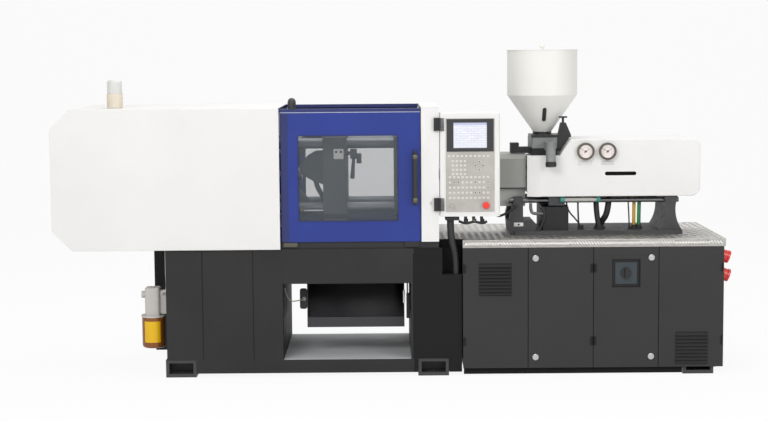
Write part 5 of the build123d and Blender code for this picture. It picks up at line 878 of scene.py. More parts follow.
class Hopper(bpy.types.Operator):
    """Make the sight glass of the hopper's cone with its frame."""

    bl_idname = "machine.hopper"
    bl_label = "Hopper"

    def execute(self, context):
        piece("sight_frame", self.patch(SIGHT_MARGIN, FRAME_LIFT), "hopper_paint", "hopper")
        piece("sight_glass", self.patch(0.0, GLASS_LIFT), "bezel", "hopper")
        return {"FINISHED"}

    def patch(self, margin, lift):
        """Strip of the cone: rounded in its own plane, then laid on the cone at a height above it,
        radius = line between the cone's two ends at that height + lift, angle = width / radius."""
        height = SIGHT_Z[1] - SIGHT_Z[0] + 2 * margin
        outline = rounded_outline(2 * (SIGHT_HALF + margin), height, SIGHT_CORNER + margin)
        z = outline[:, 1] + sum(SIGHT_Z) / 2
        rings = []
        for share, rise in ((1.0, SIGHT_SINK), (1.0, lift), (SIGHT_EDGE_SHARE, lift)):
            heights = (z - z.mean()) * share + z.mean()
            radius = np.interp(heights, CONE_Z, CONE_RADII) + rise
            turn = outline[:, 0] * share / radius
            rings.append(np.stack([HOPPER_X + radius * np.sin(turn), -radius * np.cos(turn), heights], -1))
        n = len(outline)
        return np.concatenate(rings), grid_faces(3, n, wrap_columns=True) + [tuple(range(2 * n, 3 * n))]


def ring_plate(x, z, y, width, depth, radius):
    """Flat frame on a front face at y: a rounded outline and the same one drawn in by the width, both
    carried outwards by the depth."""
    outer = rounded_outline(x[1] - x[0], z[1] - z[0], radius)
    inner = rounded_outline(x[1] - x[0] - 2 * width, z[1] - z[0] - 2 * width, max(radius - width, 0.001))
    centre = np.array([(x[0] + x[1]) / 2, y, (z[0] + z[1]) / 2])
    rings = [(outer, 0.0), (outer, depth), (inner, depth), (inner, 0.0)]
    points = [centre + np.stack([o[:, 0], np.full(len(o), -d), o[:, 1]], -1) for o, d in rings]
    return np.concatenate(points), grid_faces(4, len(outer), wrap_rows=True, wrap_columns=True)


DOOR_LOW, DOOR_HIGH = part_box("front_door")
WINDOW_LOW, WINDOW_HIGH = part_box("front_door_window")
HANDLE_LOW, HANDLE_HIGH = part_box("front_door_handle")
# The rubber's outer edge lies inside the window sheet's edge, which the door hides
RUBBER_INSET, RUBBER_WIDTH, RUBBER_DEPTH, RUBBER_CORNER = 0.006, 0.006, 0.002, 0.012
HANDLE_RADIUS, GRIP_RADIUS = 0.010, 0.0135
COLLAR_RADIUS, COLLAR_HALF, COLLAR_DRAW, COLLAR_STEP = 0.0155, 0.012, 0.001, 0.002
COLLAR_FROM_FOOT, COLLAR_FROM_HEAD = 0.028, 0.037
EDGE_INSETS, EDGE_Y, EDGE_Z = (0.001, -0.002), (-0.001, 0.004), (-0.0035, 0.0005)


class Door(bpy.types.Operator):
    """Make the rubber round the door's window, the steel ends of its handle and a pale strip on its top edge
    as a painted highlight.
    """

    bl_idname = "machine.door"
    bl_label = "Door"

    def execute(self, context):
        face = DOOR_LOW[1]
        x, z = ((WINDOW_LOW[i] + RUBBER_INSET, WINDOW_HIGH[i] - RUBBER_INSET) for i in (0, 2))
        rubber = ring_plate(x, z, face, RUBBER_WIDTH, RUBBER_DEPTH, RUBBER_CORNER)
        piece("window_rubber", rubber, "rail_navy", "front_door")
        middle = (HANDLE_LOW[0] + HANDLE_HIGH[0]) / 2, HANDLE_LOW[1] + HANDLE_RADIUS
        low, high = HANDLE_LOW[2] + COLLAR_FROM_FOOT, HANDLE_HIGH[2] - COLLAR_FROM_HEAD
        collars = [collar((*middle, height), UP, COLLAR_RADIUS, COLLAR_HALF, COLLAR_DRAW, COLLAR_STEP)
                   for height in (low, high)]
        piece("handle_collars", joined(*collars), "collar_steel", "front_door")
        piece("handle_grip", rod((*middle, low), UP, GRIP_RADIUS, high - low), "rubber", "front_door")
        # Painted highlight along the door's top edge
        edge = box((DOOR_LOW[0] + EDGE_INSETS[0], face + EDGE_Y[0], DOOR_HIGH[2] + EDGE_Z[0]),
                   (DOOR_HIGH[0] + EDGE_INSETS[1], face + EDGE_Y[1], DOOR_HIGH[2] + EDGE_Z[1]))
        piece("door_top_highlight", edge, "edge_highlight", "front_door", smooth=False)
        return {"FINISHED"}


TREAD_LOW, TREAD_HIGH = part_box("tread_plate")
TREAD_X = TREAD_LOW[0] + 0.004, TREAD_HIGH[0] - 0.004
TREAD_Y = TREAD_LOW[1] - 0.004, TREAD_HIGH[1] - 0.010
TREAD_CELL, TREAD_RISE = 0.0400, 0.0016
# Offsets, half length and half width of a cell's bars, as shares of the cell
TOP_BAR_SHARES, LIP_BAR_SHARES = ((-0.25, 0.0, 0.25), 0.40, 0.05), ((0.0,), 1.0, 0.17)
# Sides along x and y of what stands on the plate or is cut out of it
TREAD_BARE = (((-0.01, 0.135), (-0.44, -0.335)), ((0.405, 1.43), (-0.222, 0.222)))
LIP_Z, LIP_START, LIP_PITCH, LIP_GROUP = (0.734, 0.774), 0.145, 0.0165, 12


def tread_bars(origin, axes, columns, rows, cell, shares, group=1, bare=()):
    """Bar tread: each cell holds parallel bars, and they lean the other way in every next group of cells.
    A bar is a low ridge, height = rise * (1 - s^2) * (1 - t^2) over its length s and width t from -1 to 1."""
    right, up = np.asarray(axes, float)
    offsets, reach, width = shares
    i, j = (a.ravel() for a in np.meshgrid(np.arange(columns), np.arange(rows), indexing="ij"))
    s, t = (a.ravel() for a in np.meshgrid(np.linspace(-1, 1, 5), np.linspace(-1, 1, 3), indexing="ij"))
    along = s[None] * np.full((len(offsets), 1), reach)
    across = np.asarray(offsets)[:, None] + t[None] * width
    turn = np.where((i // group + j) % 2 == 0, np.pi / 4, 3 * np.pi / 4)[:, None, None]
    x = (i[:, None, None] + 0.5 + along * np.cos(turn) - across * np.sin(turn)) * cell
    y = (j[:, None, None] + 0.5 + along * np.sin(turn) + across * np.cos(turn)) * cell
    rise = np.broadcast_to(TREAD_RISE * (1 - s**2) * (1 - t**2), x.shape)
    points = np.asarray(origin, float) + x[..., None] * right + y[..., None] * up
    points = points + rise[..., None] * np.cross(right, up)
    centre = points.mean((1, 2))
    keep = np.full(len(i), True)
    for (x0, x1), (y0, y1) in bare:
        keep &= ~((centre[:, 0] > x0) & (centre[:, 0] < x1) & (centre[:, 1] > y0) & (centre[:, 1] < y1))
    points = points[keep].reshape(-1, len(s), 3)
    faces = np.array(grid_faces(5, 3))[None, :, ::-1] + len(s) * np.arange(len(points))[:, None, None]
    return points.reshape(-1, 3), [tuple(q) for q in faces.reshape(-1, 4).tolist()]


class Tread(bpy.types.Operator):
    """Make the raised bars of the tread plate's top and of its folded lip."""

    bl_idname = "machine.tread"
    bl_label = "Tread plate"

    def execute(self, context):
        columns, rows = (int((side[1] - side[0]) / TREAD_CELL) for side in (TREAD_X, TREAD_Y))
        corner = (TREAD_X[0], TREAD_Y[0], TREAD_HIGH[2])
        top = tread_bars(corner, (ALONG, (0, 1, 0)), columns, rows, TREAD_CELL, TOP_BAR_SHARES,
                         bare=TREAD_BARE)
        count = int((TREAD_X[1] - LIP_START) / LIP_PITCH)
        corner = (LIP_START, TREAD_LOW[1], (sum(LIP_Z) - LIP_PITCH) / 2)
        lip = tread_bars(corner, FRONT, count, 1, LIP_PITCH, LIP_BAR_SHARES, LIP_GROUP)
        piece("tread_bars", joined(top, lip), "tread_bar", "frame")
        return {"FINISHED"}


CONDUIT_ROUTE = ((0.065, -0.385, 0.893), (0.065, -0.385, 0.790), (0.097, -0.381, 0.680),
                 (0.097, -0.381, 0.580))
HOSE_Y, HOSE_END_Y = -0.112, -0.174
HOSES = (
    ("feed_hose", 0.032, "rubber", (
        (0.921, HOSE_END_Y, 1.045), (0.921, HOSE_Y, 1.040), (0.923, HOSE_Y, 0.960), (0.930, HOSE_Y, 0.870),
        (0.944, HOSE_Y, 0.800))),
    ("return_hose", 0.036, "rubber", (
        (1.000, HOSE_END_Y, 1.045), (1.000, HOSE_Y, 1.040), (0.998, HOSE_Y, 0.960), (0.985, HOSE_Y, 0.880),
        (0.960, -0.080, 0.840), (0.950, -0.070, 0.800))),
    ("sensor_cable", 0.010, "rubber", (
        (0.818, HOSE_END_Y, 1.045), (0.818, HOSE_Y, 1.040), (0.818, HOSE_Y, 0.960), (0.820, HOSE_Y, 0.880),
        (0.826, HOSE_Y, 0.800))),
    ("loop_cable", 0.009, "rubber", (
        (0.775, HOSE_END_Y, 1.045), (0.765, HOSE_Y, 1.040), (0.748, HOSE_Y, 0.960), (0.765, HOSE_Y, 0.900),
        (0.815, HOSE_Y, 0.850), (0.845, HOSE_Y, 0.800))),
    ("heater_cable", 0.008, "rubber", (
        (1.108, HOSE_END_Y, 1.045), (1.108, HOSE_Y, 1.040), (1.110, HOSE_Y, 0.960), (1.116, HOSE_Y, 0.880),
        (1.118, HOSE_Y, 0.800))),
    ("earth_tube", 0.020, "tube_yellow", (
        (1.146, HOSE_END_Y, 1.045), (1.146, HOSE_Y, 1.040), (1.145, HOSE_Y, 0.960), (1.144, HOSE_Y, 0.880),
        (1.144, HOSE_Y, 0.800))),
    ("water_tube", 0.022, "tube_green", (
        (1.176, HOSE_END_Y, 1.045), (1.176, HOSE_Y, 1.040), (1.175, HOSE_Y, 0.960), (1.173, HOSE_Y, 0.880),
        (1.173, HOSE_Y, 0.800))),
)
# Radius as a share of the hose's diameter, and height, of each step of a hose's gland
HOSE_GLAND_SHARES = ((0.9, 0.0), (0.9, 0.010), (0.7, 0.012), (0.7, 0.024))


def cord(name, route, diameter, surface):
    """A free hose or cable on a smooth curve with the route's points as its control points."""
    curve = bpy.data.curves.new(name, "CURVE")
    curve.dimensions = "3D"
    curve.bevel_depth = diameter / 2
    curve.bevel_resolution = 5
    curve.resolution_u = 16
    curve.use_fill_caps = True
    line = curve.splines.new("NURBS")
    line.points.add(len(route) - 1)
    for point, place in zip(line.points, route):
        point.co = (*place, 1.0)
    line.order_u = 3
    line.use_endpoint_u = True
    made = bpy.data.objects.new(name, curve)
    bpy.context.scene.collection.objects.link(made)
    curve.materials.append(finish(surface))
    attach(made, "frame")
    return made


class Hoses(bpy.types.Operator):
    """Make the conduit of the control box and the hoses and cables under the injection cover."""

    bl_idname = "machine.hoses"
    bl_label = "Hoses"

    def execute(self, context):
        conduit = cord("conduit", CONDUIT_ROUTE, sizes().conduit_diameter, "rubber")
        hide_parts("control_conduit")
        for name, diameter, surface, route in HOSES:
            cord(name, route, diameter, surface)
        glands = [turned([(diameter * share, height) for share, height in HOSE_GLAND_SHARES],
                         route[-1], UP, 20)
                  for name, diameter, surface, route in HOSES]
        piece("hose_glands", joined(*glands), "black_plastic", "frame")
        return {"FINISHED"}


BOX_FLANGE = ((0.035, -0.425, 0.888), (0.114, -0.345, 0.9080))
BOX_GLANDS = ((0.153, "rubber"), (0.200, "collar_steel"), (0.245, "rubber"))
GLAND_Y, GLAND_Z = -0.385, 0.8935
GLAND_PROFILE = ((0.010, 0.0), (0.0125, 0.004), (0.0125, 0.014), (0.008, 0.022))
BOX_LOOP = ((0.112, -0.385, 0.880), (0.150, -0.385, 0.868), (0.200, -0.385, 0.875), (0.248, -0.385, 0.868),
            (0.272, -0.385, 0.878))
LOOP_RADIUS = 0.0075
LEAF_X, LEAF_Z, LEAF_Y = (0.008, 0.029), ((1.393, 1.466), (0.944, 1.017)), -0.4468
LEAF_DEPTH, LEAF_CORNER, LEAF_EDGE = 0.004, 0.003, 0.001
BARREL_CABLE = ((0.300, -0.114, 0.945), (0.335, -0.190, 0.880), (0.385, -0.206, 0.898),
                (0.430, -0.206, 0.924),
                (0.456, -0.206, 0.950))
BARREL_CABLE_DIAMETER = 0.014
PEDESTAL_HOSE = ((0.590, -0.192, 0.932), (0.604, -0.197, 0.938), (0.616, -0.199, 0.905),
                 (0.612, -0.199, 0.850),
                 (0.582, -0.199, 0.801))
PEDESTAL_HOSE_DIAMETER = 0.013


class BoxWiring(bpy.types.Operator):
    """Make the glands, the wiring and the hinge leaves of the control box and the cables beside it."""

    bl_idname = "machine.box_wiring"
    bl_label = "Box wiring"

    def execute(self, context):
        piece("conduit_flange", box(*BOX_FLANGE), "black_plastic", "control_box", bevel=0.004)
        for number, (x, surface) in enumerate(BOX_GLANDS, 1):
            gland = turned(GLAND_PROFILE, (x, GLAND_Y, GLAND_Z), DOWN, 12)
            piece(f"box_gland_{number}", gland, surface, "control_box")
        piece("box_loop", tube(smooth_path(BOX_LOOP, 60), LOOP_RADIUS, 14), "rubber", "control_box")
        leaves = [front_plate(LEAF_X, z, LEAF_Y, LEAF_DEPTH, LEAF_CORNER, LEAF_EDGE) for z in LEAF_Z]
        piece("hinge_leaves", joined(*leaves), "rod_steel", "control_box")
        for name, route, diameter in (("barrel_cable", BARREL_CABLE, BARREL_CABLE_DIAMETER),
                                      ("pedestal_hose", PEDESTAL_HOSE, PEDESTAL_HOSE_DIAMETER)):
            cord(name, route, diameter, "rubber")
        return {"FINISHED"}


# Fittings; a form is the depth, corner radius and edge of a plate


CHUTE_LOW, CHUTE_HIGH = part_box("drop_chute")
CHUTE_LIP_DROP, CHUTE_LIP_DEPTH, CHUTE_LIP_CORNER = 0.030, 0.003, 0.001
SENSOR_WIDTH, SENSOR_GAP, SENSOR_Z, SENSOR_FORM = 0.042, 0.0005, (0.365, 0.482), (0.024, 0.012, 0.003)
EYE_OFFSET, EYE_Z, EYE_RADIUS, EYE_DEPTH, EYE_EDGE = 0.018, 0.424, 0.012, 0.005, 0.002
SENSOR_LEAD = ((-0.774, -0.266, 0.424), (-0.824, -0.300, 0.412), (-0.866, -0.330, 0.430),
               (-0.878, -0.350, 0.500))
SENSOR_LEAD_DIAMETER = 0.006
STOP_X, STOP_Y, STOP_Z, STOP_FORM = (-0.186, -0.166), -0.290, (0.314, 0.459), (0.016, 0.004, 0.002)
STEM_OFFSET, STEM_RADIUS = 0.006, 0.004
CHUTE_HINGE_X, CHUTE_HINGE_Z, CHUTE_HINGE_FORM = (-0.008, 0.004), (0.395, 0.471), (0.003, 0.002, 0.001)
POST_TOP = ((-0.099, -0.430, 1.5225), (0.008, 0.428, 1.5245))
CATCH_PLACE, CATCH_FORM = (-0.046, -0.430, 0.988), (0.004, 0.005, 0.0015)
CATCH_WIDTH, CATCH_HEIGHT = 0.010, 0.022


class BaseFittings(bpy.types.Operator):
    """Make the small fittings in the drop window and on the white post."""

    bl_idname = "machine.base_fittings"
    bl_label = "Base fittings"

    def execute(self, context):
        (left, front, low), (right, _, high) = CHUTE_LOW, CHUTE_HIGH
        lip = front_plate((left, right), (low - CHUTE_LIP_DROP, low), front + CHUTE_LIP_DEPTH,
                          CHUTE_LIP_DEPTH, CHUTE_LIP_CORNER)
        piece("chute_lip", lip, "chute_grey", "frame")
        sides = left - SENSOR_WIDTH, left - SENSOR_GAP
        piece("drop_sensor", front_plate(sides, SENSOR_Z, front + SENSOR_FORM[0], *SENSOR_FORM),
              "black_plastic", "frame")
        eye = front_disc(left - EYE_OFFSET, EYE_Z, front, EYE_RADIUS, EYE_DEPTH, EYE_EDGE)
        piece("sensor_eye", eye, "lead_grey", "frame")
        cord("sensor_lead", SENSOR_LEAD, SENSOR_LEAD_DIAMETER, "lead_grey")
        foot = (STOP_X[0] + STEM_OFFSET, STOP_Y - STOP_FORM[0] / 2, STOP_Z[1])
        stop = joined(front_plate(STOP_X, STOP_Z, STOP_Y, *STOP_FORM),
                      rod(foot, UP, STEM_RADIUS, high - STOP_Z[1], 16))
        piece("chute_stop", stop, "black_plastic", "frame")
        sides = [right + x for x in CHUTE_HINGE_X]
        hinge = front_plate(sides, CHUTE_HINGE_Z, front, *CHUTE_HINGE_FORM)
        piece("chute_hinge", hinge, "bright_steel", "frame")
        piece("post_top", box(*POST_TOP), "guard_white", "frame", smooth=False)
        catch = slab(CATCH_PLACE, *FRONT, CATCH_WIDTH, CATCH_HEIGHT, *CATCH_FORM)
        piece("box_catch", catch, "bright_steel", "frame")
        return {"FINISHED"}


TUBE_X, TUBE_Y, TUBE_Z, TUBE_RADIUS = (0.719, 0.928), -0.184, 0.978, 0.011
TUBE_END_RADIUS, TUBE_END_HALF, TUBE_END_DRAW = 0.015, 0.012, 0.003
STRAP_HALF_WIDTH, STRAP_HALF_DEPTH, STRAP_TOP = 0.006, 0.003, 1.000
ELBOW = ((0.536, -0.193, 0.960), (0.538, -0.193, 0.925), (0.552, -0.193, 0.902), (0.610, -0.193, 0.899))
ELBOW_RADIUS = 0.009
FOOT_PLATE_X, FOOT_PLATE_Y, FOOT_PLATE_Z, FOOT_PLATE_FORM = (
    (0.440, 0.494), -0.190, (0.826, 0.848), (0.003, 0.002, 0.0008))
FOOT_SCREW_LIFT, FOOT_SCREW_RADIUS, FOOT_SCREW_DEPTH, FOOT_SCREW_EDGE = 0.0028, 0.006, 0.001, 0.0003


class CoverFittings(bpy.types.Operator):
    """Make the flow tube with its green fittings under the cover, and the pipe and plate on the feet."""

    bl_idname = "machine.cover_fittings"
    bl_label = "Cover fittings"

    def execute(self, context):
        left, right = TUBE_X
        flow = rod((left, TUBE_Y, TUBE_Z), ALONG, TUBE_RADIUS, right - left, 24)
        piece("flow_tube", flow, "clear_tube", "carriage")
        ends = [collar((x, TUBE_Y, TUBE_Z), ALONG, TUBE_END_RADIUS, TUBE_END_HALF, TUBE_END_DRAW,
                       TUBE_END_DRAW, 24) for x in TUBE_X]
        straps = [box((x - STRAP_HALF_WIDTH, TUBE_Y - STRAP_HALF_DEPTH, TUBE_Z),
                      (x + STRAP_HALF_WIDTH, TUBE_Y + STRAP_HALF_DEPTH, STRAP_TOP)) for x in TUBE_X]
        piece("flow_tube_ends", joined(*ends, *straps), "fitting_green", "carriage")
        piece("pipe_elbow", tube(smooth_path(ELBOW, 30), ELBOW_RADIUS, 16), "rod_steel", "frame")
        plate = front_plate(FOOT_PLATE_X, FOOT_PLATE_Z, FOOT_PLATE_Y, *FOOT_PLATE_FORM)
        piece("pedestal_plate", plate, "plate_pale", "frame")
        screw = front_disc(sum(FOOT_PLATE_X) / 2, sum(FOOT_PLATE_Z) / 2, FOOT_PLATE_Y - FOOT_SCREW_LIFT,
                           FOOT_SCREW_RADIUS, FOOT_SCREW_DEPTH, FOOT_SCREW_EDGE, 20)
        piece("pedestal_screw", screw, "ink", "frame")
        return {"FINISHED"}


# Number of each cabinet door and the end of its box, 0 low or 1 high along x, that its hinges are on
HINGE_SIDES = ((1, 0), (2, 1), (3, 0), (4, 1))
HINGE_SHARES = (0.222, 0.827)
HINGE_INSETS, HINGE_HALF, HINGE_FORM = (0.001, 0.019), 0.022, (0.0025, 0.002, 0.0008)
CABINET_FACE = -0.430
# Place of the dark strip under the doors, painted shade under the cabinet
PLINTH_INSET, PLINTH_RIGHT, PLINTH_Y, PLINTH_Z = 0.006, 1.378, (-0.402, -0.396), (0.006, 0.099)


class CabinetFittings(bpy.types.Operator):
    """Make the black hinge leaves of the cabinet doors and the dark strip under the doors, a base channel
    darkened as painted shade under the cabinet.
    """

    bl_idname = "machine.cabinet_fittings"
    bl_label = "Cabinet fittings"

    def execute(self, context):
        for number, end in HINGE_SIDES:
            corners = low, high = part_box(f"cabinet_door_{number}")
            sides = sorted(corners[end][0] + (-inset if end else inset) for inset in HINGE_INSETS)
            middles = [low[2] + share * (high[2] - low[2]) for share in HINGE_SHARES]
            leaves = [front_plate(sides, (z - HINGE_HALF, z + HINGE_HALF), CABINET_FACE, *HINGE_FORM)
                      for z in middles]
            piece(f"door_hinge_{number}", joined(*leaves), "black_plastic", f"cabinet_door_{number}")
        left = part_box("cabinet_frame")[0][0] + PLINTH_INSET
        strip = box((left, PLINTH_Y[0], PLINTH_Z[0]), (PLINTH_RIGHT, PLINTH_Y[1], PLINTH_Z[1]))
        piece("plinth_shade_strip", strip, "base_shade", "frame", smooth=False)
        return {"FINISHED"}


ARCH_PLACE = (-0.824, -0.372, 1.520)
ARCH_SPAN, ARCH_RISE, ARCH_CROWN_SHARE = 0.026, 0.019, 0.8
ARCH_RADIUS, ARCH_RIPPLE, ARCH_RIBS = 0.0217, 0.0008, 14


class CableSleeve(bpy.types.Operator):
    """Make the ribbed black sleeve that arches from the upper rail into the guard."""

    bl_idname = "machine.cable_sleeve"
    bl_label = "Cable sleeve"

    def execute(self, context):
        path = self.arch()
        ribs = np.cos(np.linspace(0, ARCH_RIBS * 2 * np.pi, len(path)))
        sleeve = piece("cable_sleeve", tube(path, ARCH_RADIUS + ARCH_RIPPLE * ribs, 24), "rubber", "frame")
        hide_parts("cable_arch")
        return {"FINISHED"}

    def arch(self):
        """Flattened half circle with two short legs, in the plane across the machine."""
        x, y, z = ARCH_PLACE
        t = np.linspace(0, np.pi, 60)
        crown = z + ARCH_RISE + ARCH_SPAN * np.sin(t) * ARCH_CROWN_SHARE
        arc = np.stack([np.full(len(t), x), y - ARCH_SPAN * np.cos(t), crown], -1)
        leg = np.linspace(0, 1, 8)[:-1, None] * np.array([0, 0, ARCH_RISE])
        rising = np.array([x, y - ARCH_SPAN, z]) + leg
        falling = np.array([x, y + ARCH_SPAN, z + ARCH_RISE]) - leg
        return np.concatenate([rising, arc, falling[1:]])


PLATEN_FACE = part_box("moving_platen")[0][1]
PLATEN_PLATE_X, PLATEN_PLATE_Z, PLATEN_PLATE_FORM = (-0.596, -0.539), (1.227, 1.285), (0.003, 0.003, 0.0006)
PLATEN_SCREWS, PLATEN_SCREW_Z = (-0.581, -0.554), 1.268
PLATEN_SCREW_RADIUS, PLATEN_SCREW_DEPTH, PLATEN_SCREW_EDGE = 0.007, 0.002, 0.0008
# Opposite corners of the valve's arm, body and head
VALVE_BLOCKS = (((-0.530, -0.262, 1.250), (-0.470, -0.238, 1.272)),
                ((-0.500, -0.300, 1.232), (-0.462, -0.258, 1.288)),
                ((-0.464, -0.294, 1.205), (-0.436, -0.264, 1.262)))
LEVER = ((-0.480, -0.282, 1.240), (-0.484, -0.282, 1.190), (-0.489, -0.282, 1.118))
LEVER_RADII = (0.009, 0.010, 0.013)
BRACKET = ((-0.645, 1.074), (-0.645, 1.274), (-0.699, 1.274), (-0.745, 1.248), (-0.786, 1.199),
           (-0.798, 1.168), (-0.770, 1.130), (-0.721, 1.101))
BRACKET_Y, PLATEN_EDGE = (-0.200, -0.172), 0.004
PLATEN_HOSE = ((-0.705, -0.186, 1.112), (-0.690, -0.186, 1.060), (-0.664, -0.186, 1.010),
               (-0.656, -0.186, 0.985))
PLATEN_HOSE_RADIUS = 0.014
POSITION_ROD, POSITION_ROD_RADIUS, POSITION_ROD_LENGTH = (-0.778, -0.226, 0.930), 0.006, 0.118
POSITION_NUT = (-0.781, -0.226, 0.930)
POSITION_NUT_RADIUS, POSITION_NUT_HALF, POSITION_NUT_DRAW = 0.013, 0.011, 0.003


def prism(outline, y):
    """An outline of (x, z) corners carried from the first y to the second, closed by one face at each end."""
    corners, count = np.array(outline), len(outline)
    sides = [((i + 1) % count, i, i + count, (i + 1) % count + count) for i in range(count)]
    ends = [tuple(range(count)), tuple(range(2 * count - 1, count - 1, -1))]
    return np.concatenate([np.insert(corners, 1, level, axis=1) for level in y]), sides + ends


class PlatenFittings(bpy.types.Operator):
    """Make the light plate, the valve, the bracket and the position rod on the moving platen."""

    bl_idname = "machine.platen_fittings"
    bl_label = "Platen fittings"

    def execute(self, context):
        plate = front_plate(PLATEN_PLATE_X, PLATEN_PLATE_Z, PLATEN_FACE, *PLATEN_PLATE_FORM)
        screws = [front_disc(x, PLATEN_SCREW_Z, PLATEN_FACE - PLATEN_PLATE_FORM[0], PLATEN_SCREW_RADIUS,
                             PLATEN_SCREW_DEPTH, PLATEN_SCREW_EDGE, 16) for x in PLATEN_SCREWS]
        nut = collar(POSITION_NUT, ALONG, POSITION_NUT_RADIUS, POSITION_NUT_HALF, POSITION_NUT_DRAW,
                     POSITION_NUT_DRAW, 6)
        bar = rod(POSITION_ROD, ALONG, POSITION_ROD_RADIUS, POSITION_ROD_LENGTH, 20)
        valve = joined(*(box(*corners) for corners in VALVE_BLOCKS))
        hose = tube(smooth_path(PLATEN_HOSE, 40), PLATEN_HOSE_RADIUS, 16)
        for name, shape, surface, options in (
            ("platen_plate", plate, "plate_pale", {}),
            ("platen_screws", joined(*screws), "ink", {}),
            ("platen_valve", valve, "black_plastic", {"bevel": PLATEN_EDGE}),
            ("valve_lever", tube(LEVER, LEVER_RADII, 16), "rubber", {}),
            ("platen_bracket", prism(BRACKET, BRACKET_Y), "casting_grey",
             {"smooth": False, "bevel": PLATEN_EDGE}),
            ("platen_hose", hose, "rubber", {}),
            ("position_rod", bar, "bright_steel", {}),
            ("position_nut", nut, "brass", {}),
        ):
            piece(name, shape, surface, "moving_platen", **options)
        return {"FINISHED"}


GREASE_PIPE = ((-1.580, -0.330, 0.470), (-1.572, -0.345, 0.486), (-1.553, -0.360, 0.500),
               (-1.553, -0.360, 0.600), (-1.553, -0.360, 0.680), (-1.553, -0.360, 0.726))
GREASE_PIPE_RADIUS = 0.0045


class GreasePipe(bpy.types.Operator):
    """Make the pale pipe that rises from the grease pump along the base's end."""

    bl_idname = "machine.grease_pipe"
    bl_label = "Grease pipe"

    def execute(self, context):
        pipe = tube(smooth_path(GREASE_PIPE, 60), GREASE_PIPE_RADIUS, 12)
        piece("grease_pipe", pipe, "plate_pale", "frame")
        return {"FINISHED"}


# Stage


WORLD_LEVEL = 0.37
# Name, place, aim, width and depth in metres, and power in watts of each lamp
LAMPS = (
    ("key_lamp", (-3.6, -7.0, 5.2), (0.0, 0.0, 1.0), (4.0, 3.0), 280.0),
    ("fill_lamp", (4.5, -6.0, 3.6), (0.0, 0.0, 0.9), (3.5, 3.0), 150.0),
    ("top_lamp", (0.0, 0.5, 5.6), (0.0, 0.0, 0.0), (6.0, 3.0), 150.0),
)
CAMERA_LENS, CAMERA_SENSOR, CAMERA_CLIP = 75.0, 36.0, 200.0
CAMERA_X, CAMERA_TILT, CAMERA_ROLL = -0.310, 5.64, -0.00785
FLOOR_BEND, FLOOR_BACK, FLOOR_SIDE_SHARE, FLOOR_GLOW_SHARE = 3.0, 7.0, 1.6, 0.92


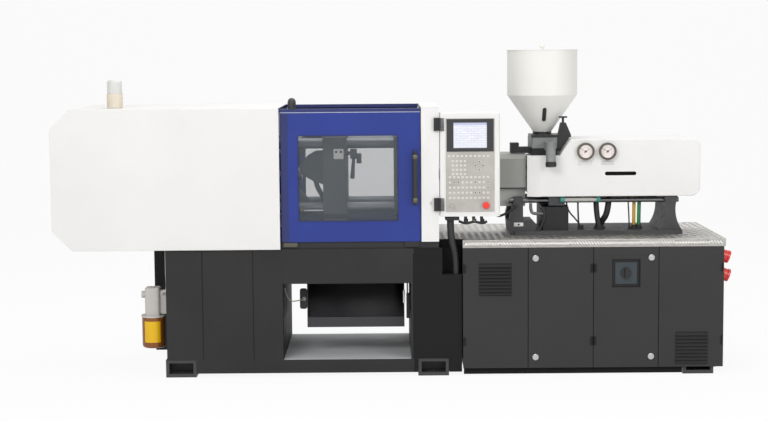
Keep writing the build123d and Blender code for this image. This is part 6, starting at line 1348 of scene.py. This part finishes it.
class Stage(bpy.types.Operator):
    """Make the pale floor, the soft lamps and the camera."""

    bl_idname = "machine.stage"
    bl_label = "Stage"

    def execute(self, context):
        self.make_floor()
        self.make_world()
        self.make_lamps()
        self.make_camera()
        bpy.context.scene.view_settings.view_transform = "Standard"
        return {"FINISHED"}

    def make_floor(self):
        """A sheet carried along X: flat floor, then a quarter circle, then a wall behind the machine."""
        reach, side = sizes().stage_reach, sizes().stage_reach * FLOOR_SIDE_SHARE
        t = np.linspace(0, np.pi / 2, 24)
        y = np.concatenate([[-side], FLOOR_BACK + FLOOR_BEND * np.sin(t), [FLOOR_BACK + FLOOR_BEND]])
        z = np.concatenate([[0.0], FLOOR_BEND * (1 - np.cos(t)), [reach]])
        points = np.stack([np.repeat([-side, side], len(y)), np.tile(y, 2), np.tile(z, 2)], -1)
        mesh = bpy.data.meshes.new("stage_floor")
        mesh.from_pydata(points.tolist(), [], [f[::-1] for f in grid_faces(2, len(y))])
        mesh.polygons.foreach_set("use_smooth", np.full(len(mesh.polygons), True))
        floor = bpy.data.objects.new("stage_floor", mesh)
        bpy.context.scene.collection.objects.link(floor)
        mesh.materials.append(self.floor_finish())

    def seen_rays(self, tree):
        """1 for rays that the camera, a shine or a clear pane sends, 0 for the rays that light things."""
        path = tree.nodes.new("ShaderNodeLightPath")
        seen = path.outputs["Is Camera Ray"]
        for ray in ("Is Glossy Ray", "Is Transmission Ray"):
            either = tree.nodes.new("ShaderNodeMath")
            either.operation = "MAXIMUM"
            tree.links.new(seen, either.inputs[0])
            tree.links.new(path.outputs[ray], either.inputs[1])
            seen = either.outputs[0]
        return seen

    def floor_finish(self):
        """Pale floor, nearly white where it is seen, with the machine's shadow; clear from behind."""
        made = Finish("stage_floor")
        pale = tuple(colours().floor_pale)
        made.colour(made.spread(made.noise(scale=0.8, detail=2.0)), scaled(pale, 0.99), pale)
        made.set("Roughness", 0.9)
        seen = self.seen_rays(made.tree)
        share = made.node("ShaderNodeMath", operation="MULTIPLY")
        share.inputs[1].default_value = FLOOR_GLOW_SHARE
        made.join(seen, share.inputs[0])
        glow = made.node("ShaderNodeEmission")
        glow.inputs["Color"].default_value = (1, 1, 1, 1)
        bright = self.mixed(made, share.outputs[0], made.shader, glow)
        behind = made.both(made.node("ShaderNodeNewGeometry").outputs["Backfacing"], seen)
        surface = self.mixed(made, behind, bright, made.node("ShaderNodeBsdfTransparent"))
        made.join(surface.outputs[0], made.tree.nodes["Material Output"].inputs["Surface"])
        return made.material

    def mixed(self, made, share, first, second):
        """Shader that goes from the first to the second as the share goes from 0 to 1."""
        mix = made.node("ShaderNodeMixShader")
        made.join(share, mix.inputs["Fac"])
        for place, shader in enumerate((first, second), 1):
            made.join(shader.outputs[0], mix.inputs[place])
        return mix

    def make_world(self):
        """White where it is seen, and at its own lower level where it lights the machine."""
        world = bpy.data.worlds.new("studio")
        world.use_nodes = True
        tree = world.node_tree
        background = tree.nodes["Background"]
        background.inputs["Color"].default_value = (1, 1, 1, 1)
        level = tree.nodes.new("ShaderNodeMapRange")
        level.inputs["To Min"].default_value = WORLD_LEVEL
        level.inputs["To Max"].default_value = 1.0
        tree.links.new(self.seen_rays(tree), level.inputs["Value"])
        tree.links.new(level.outputs["Result"], background.inputs["Strength"])
        bpy.context.scene.world = world

    def make_lamps(self):
        """Broad lamps, each with its back along the line from its aim to its place."""
        for name, place, aim, size, power in LAMPS:
            light = bpy.data.lights.new(name, "AREA")
            light.shape = "RECTANGLE"
            light.size, light.size_y = size
            light.energy = power
            lamp = bpy.data.objects.new(name, light)
            bpy.context.scene.collection.objects.link(lamp)
            turn = Matrix(np.stack(axes_of(np.subtract(place, aim)), -1).tolist()).to_4x4()
            lamp.matrix_world = Matrix.Translation(place) @ turn

    def make_camera(self):
        """Camera in front of the machine, tipped down and turned a little about its own line of sight."""
        data = bpy.data.cameras.new("camera")
        data.lens, data.sensor_width, data.clip_end = CAMERA_LENS, CAMERA_SENSOR, CAMERA_CLIP
        camera = bpy.data.objects.new("camera", data)
        bpy.context.scene.collection.objects.link(camera)
        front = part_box("clamp_guard_front")[0].y
        place = (CAMERA_X, front - sizes().camera_distance, sizes().camera_height)
        tip = Matrix.Rotation(math.radians(90 - CAMERA_TILT), 4, "X")
        camera.matrix_world = Matrix.Translation(place) @ tip @ Matrix.Rotation(CAMERA_ROLL, 4, "Z")
        bpy.context.scene.camera = camera


class MachinePanel(bpy.types.Panel):
    """Sidebar panel that lists the machine's operators and values."""

    bl_idname = "VIEW3D_PT_machine"
    bl_label = "Moulding machine"
    bl_space_type = "VIEW_3D"
    bl_region_type = "UI"
    bl_category = "Machine"

    def draw(self, context):
        for operator in OPERATORS:
            self.layout.operator(operator.bl_idname)
        for group in (context.scene.machine_colours, context.scene.machine_sizes):
            values = self.layout.box()
            for key in group.bl_rna.properties.keys():
                if key not in ("rna_type", "name"):
                    values.prop(group, key)


OPERATORS = (FinishNodes, ControlFace, Gauges, Hopper, Door, Tread, Hoses, BoxWiring, BaseFittings,
             CoverFittings, CabinetFittings, CableSleeve, PlatenFittings, GreasePipe, Stage)
CLASSES = (MachineColours, MachineSizes, *OPERATORS, MachinePanel)


def register():
    for made in CLASSES:
        bpy.utils.register_class(made)
    bpy.types.Scene.machine_colours = bpy.props.PointerProperty(type=MachineColours)
    bpy.types.Scene.machine_sizes = bpy.props.PointerProperty(type=MachineSizes)


def unregister():
    del bpy.types.Scene.machine_sizes
    del bpy.types.Scene.machine_colours
    for made in reversed(CLASSES):
        bpy.utils.unregister_class(made)


def main():
    register()
    for operator in OPERATORS:
        group, name = operator.bl_idname.split(".")
        getattr(getattr(bpy.ops, group), name)()


if __name__ == "__main__":
    main()
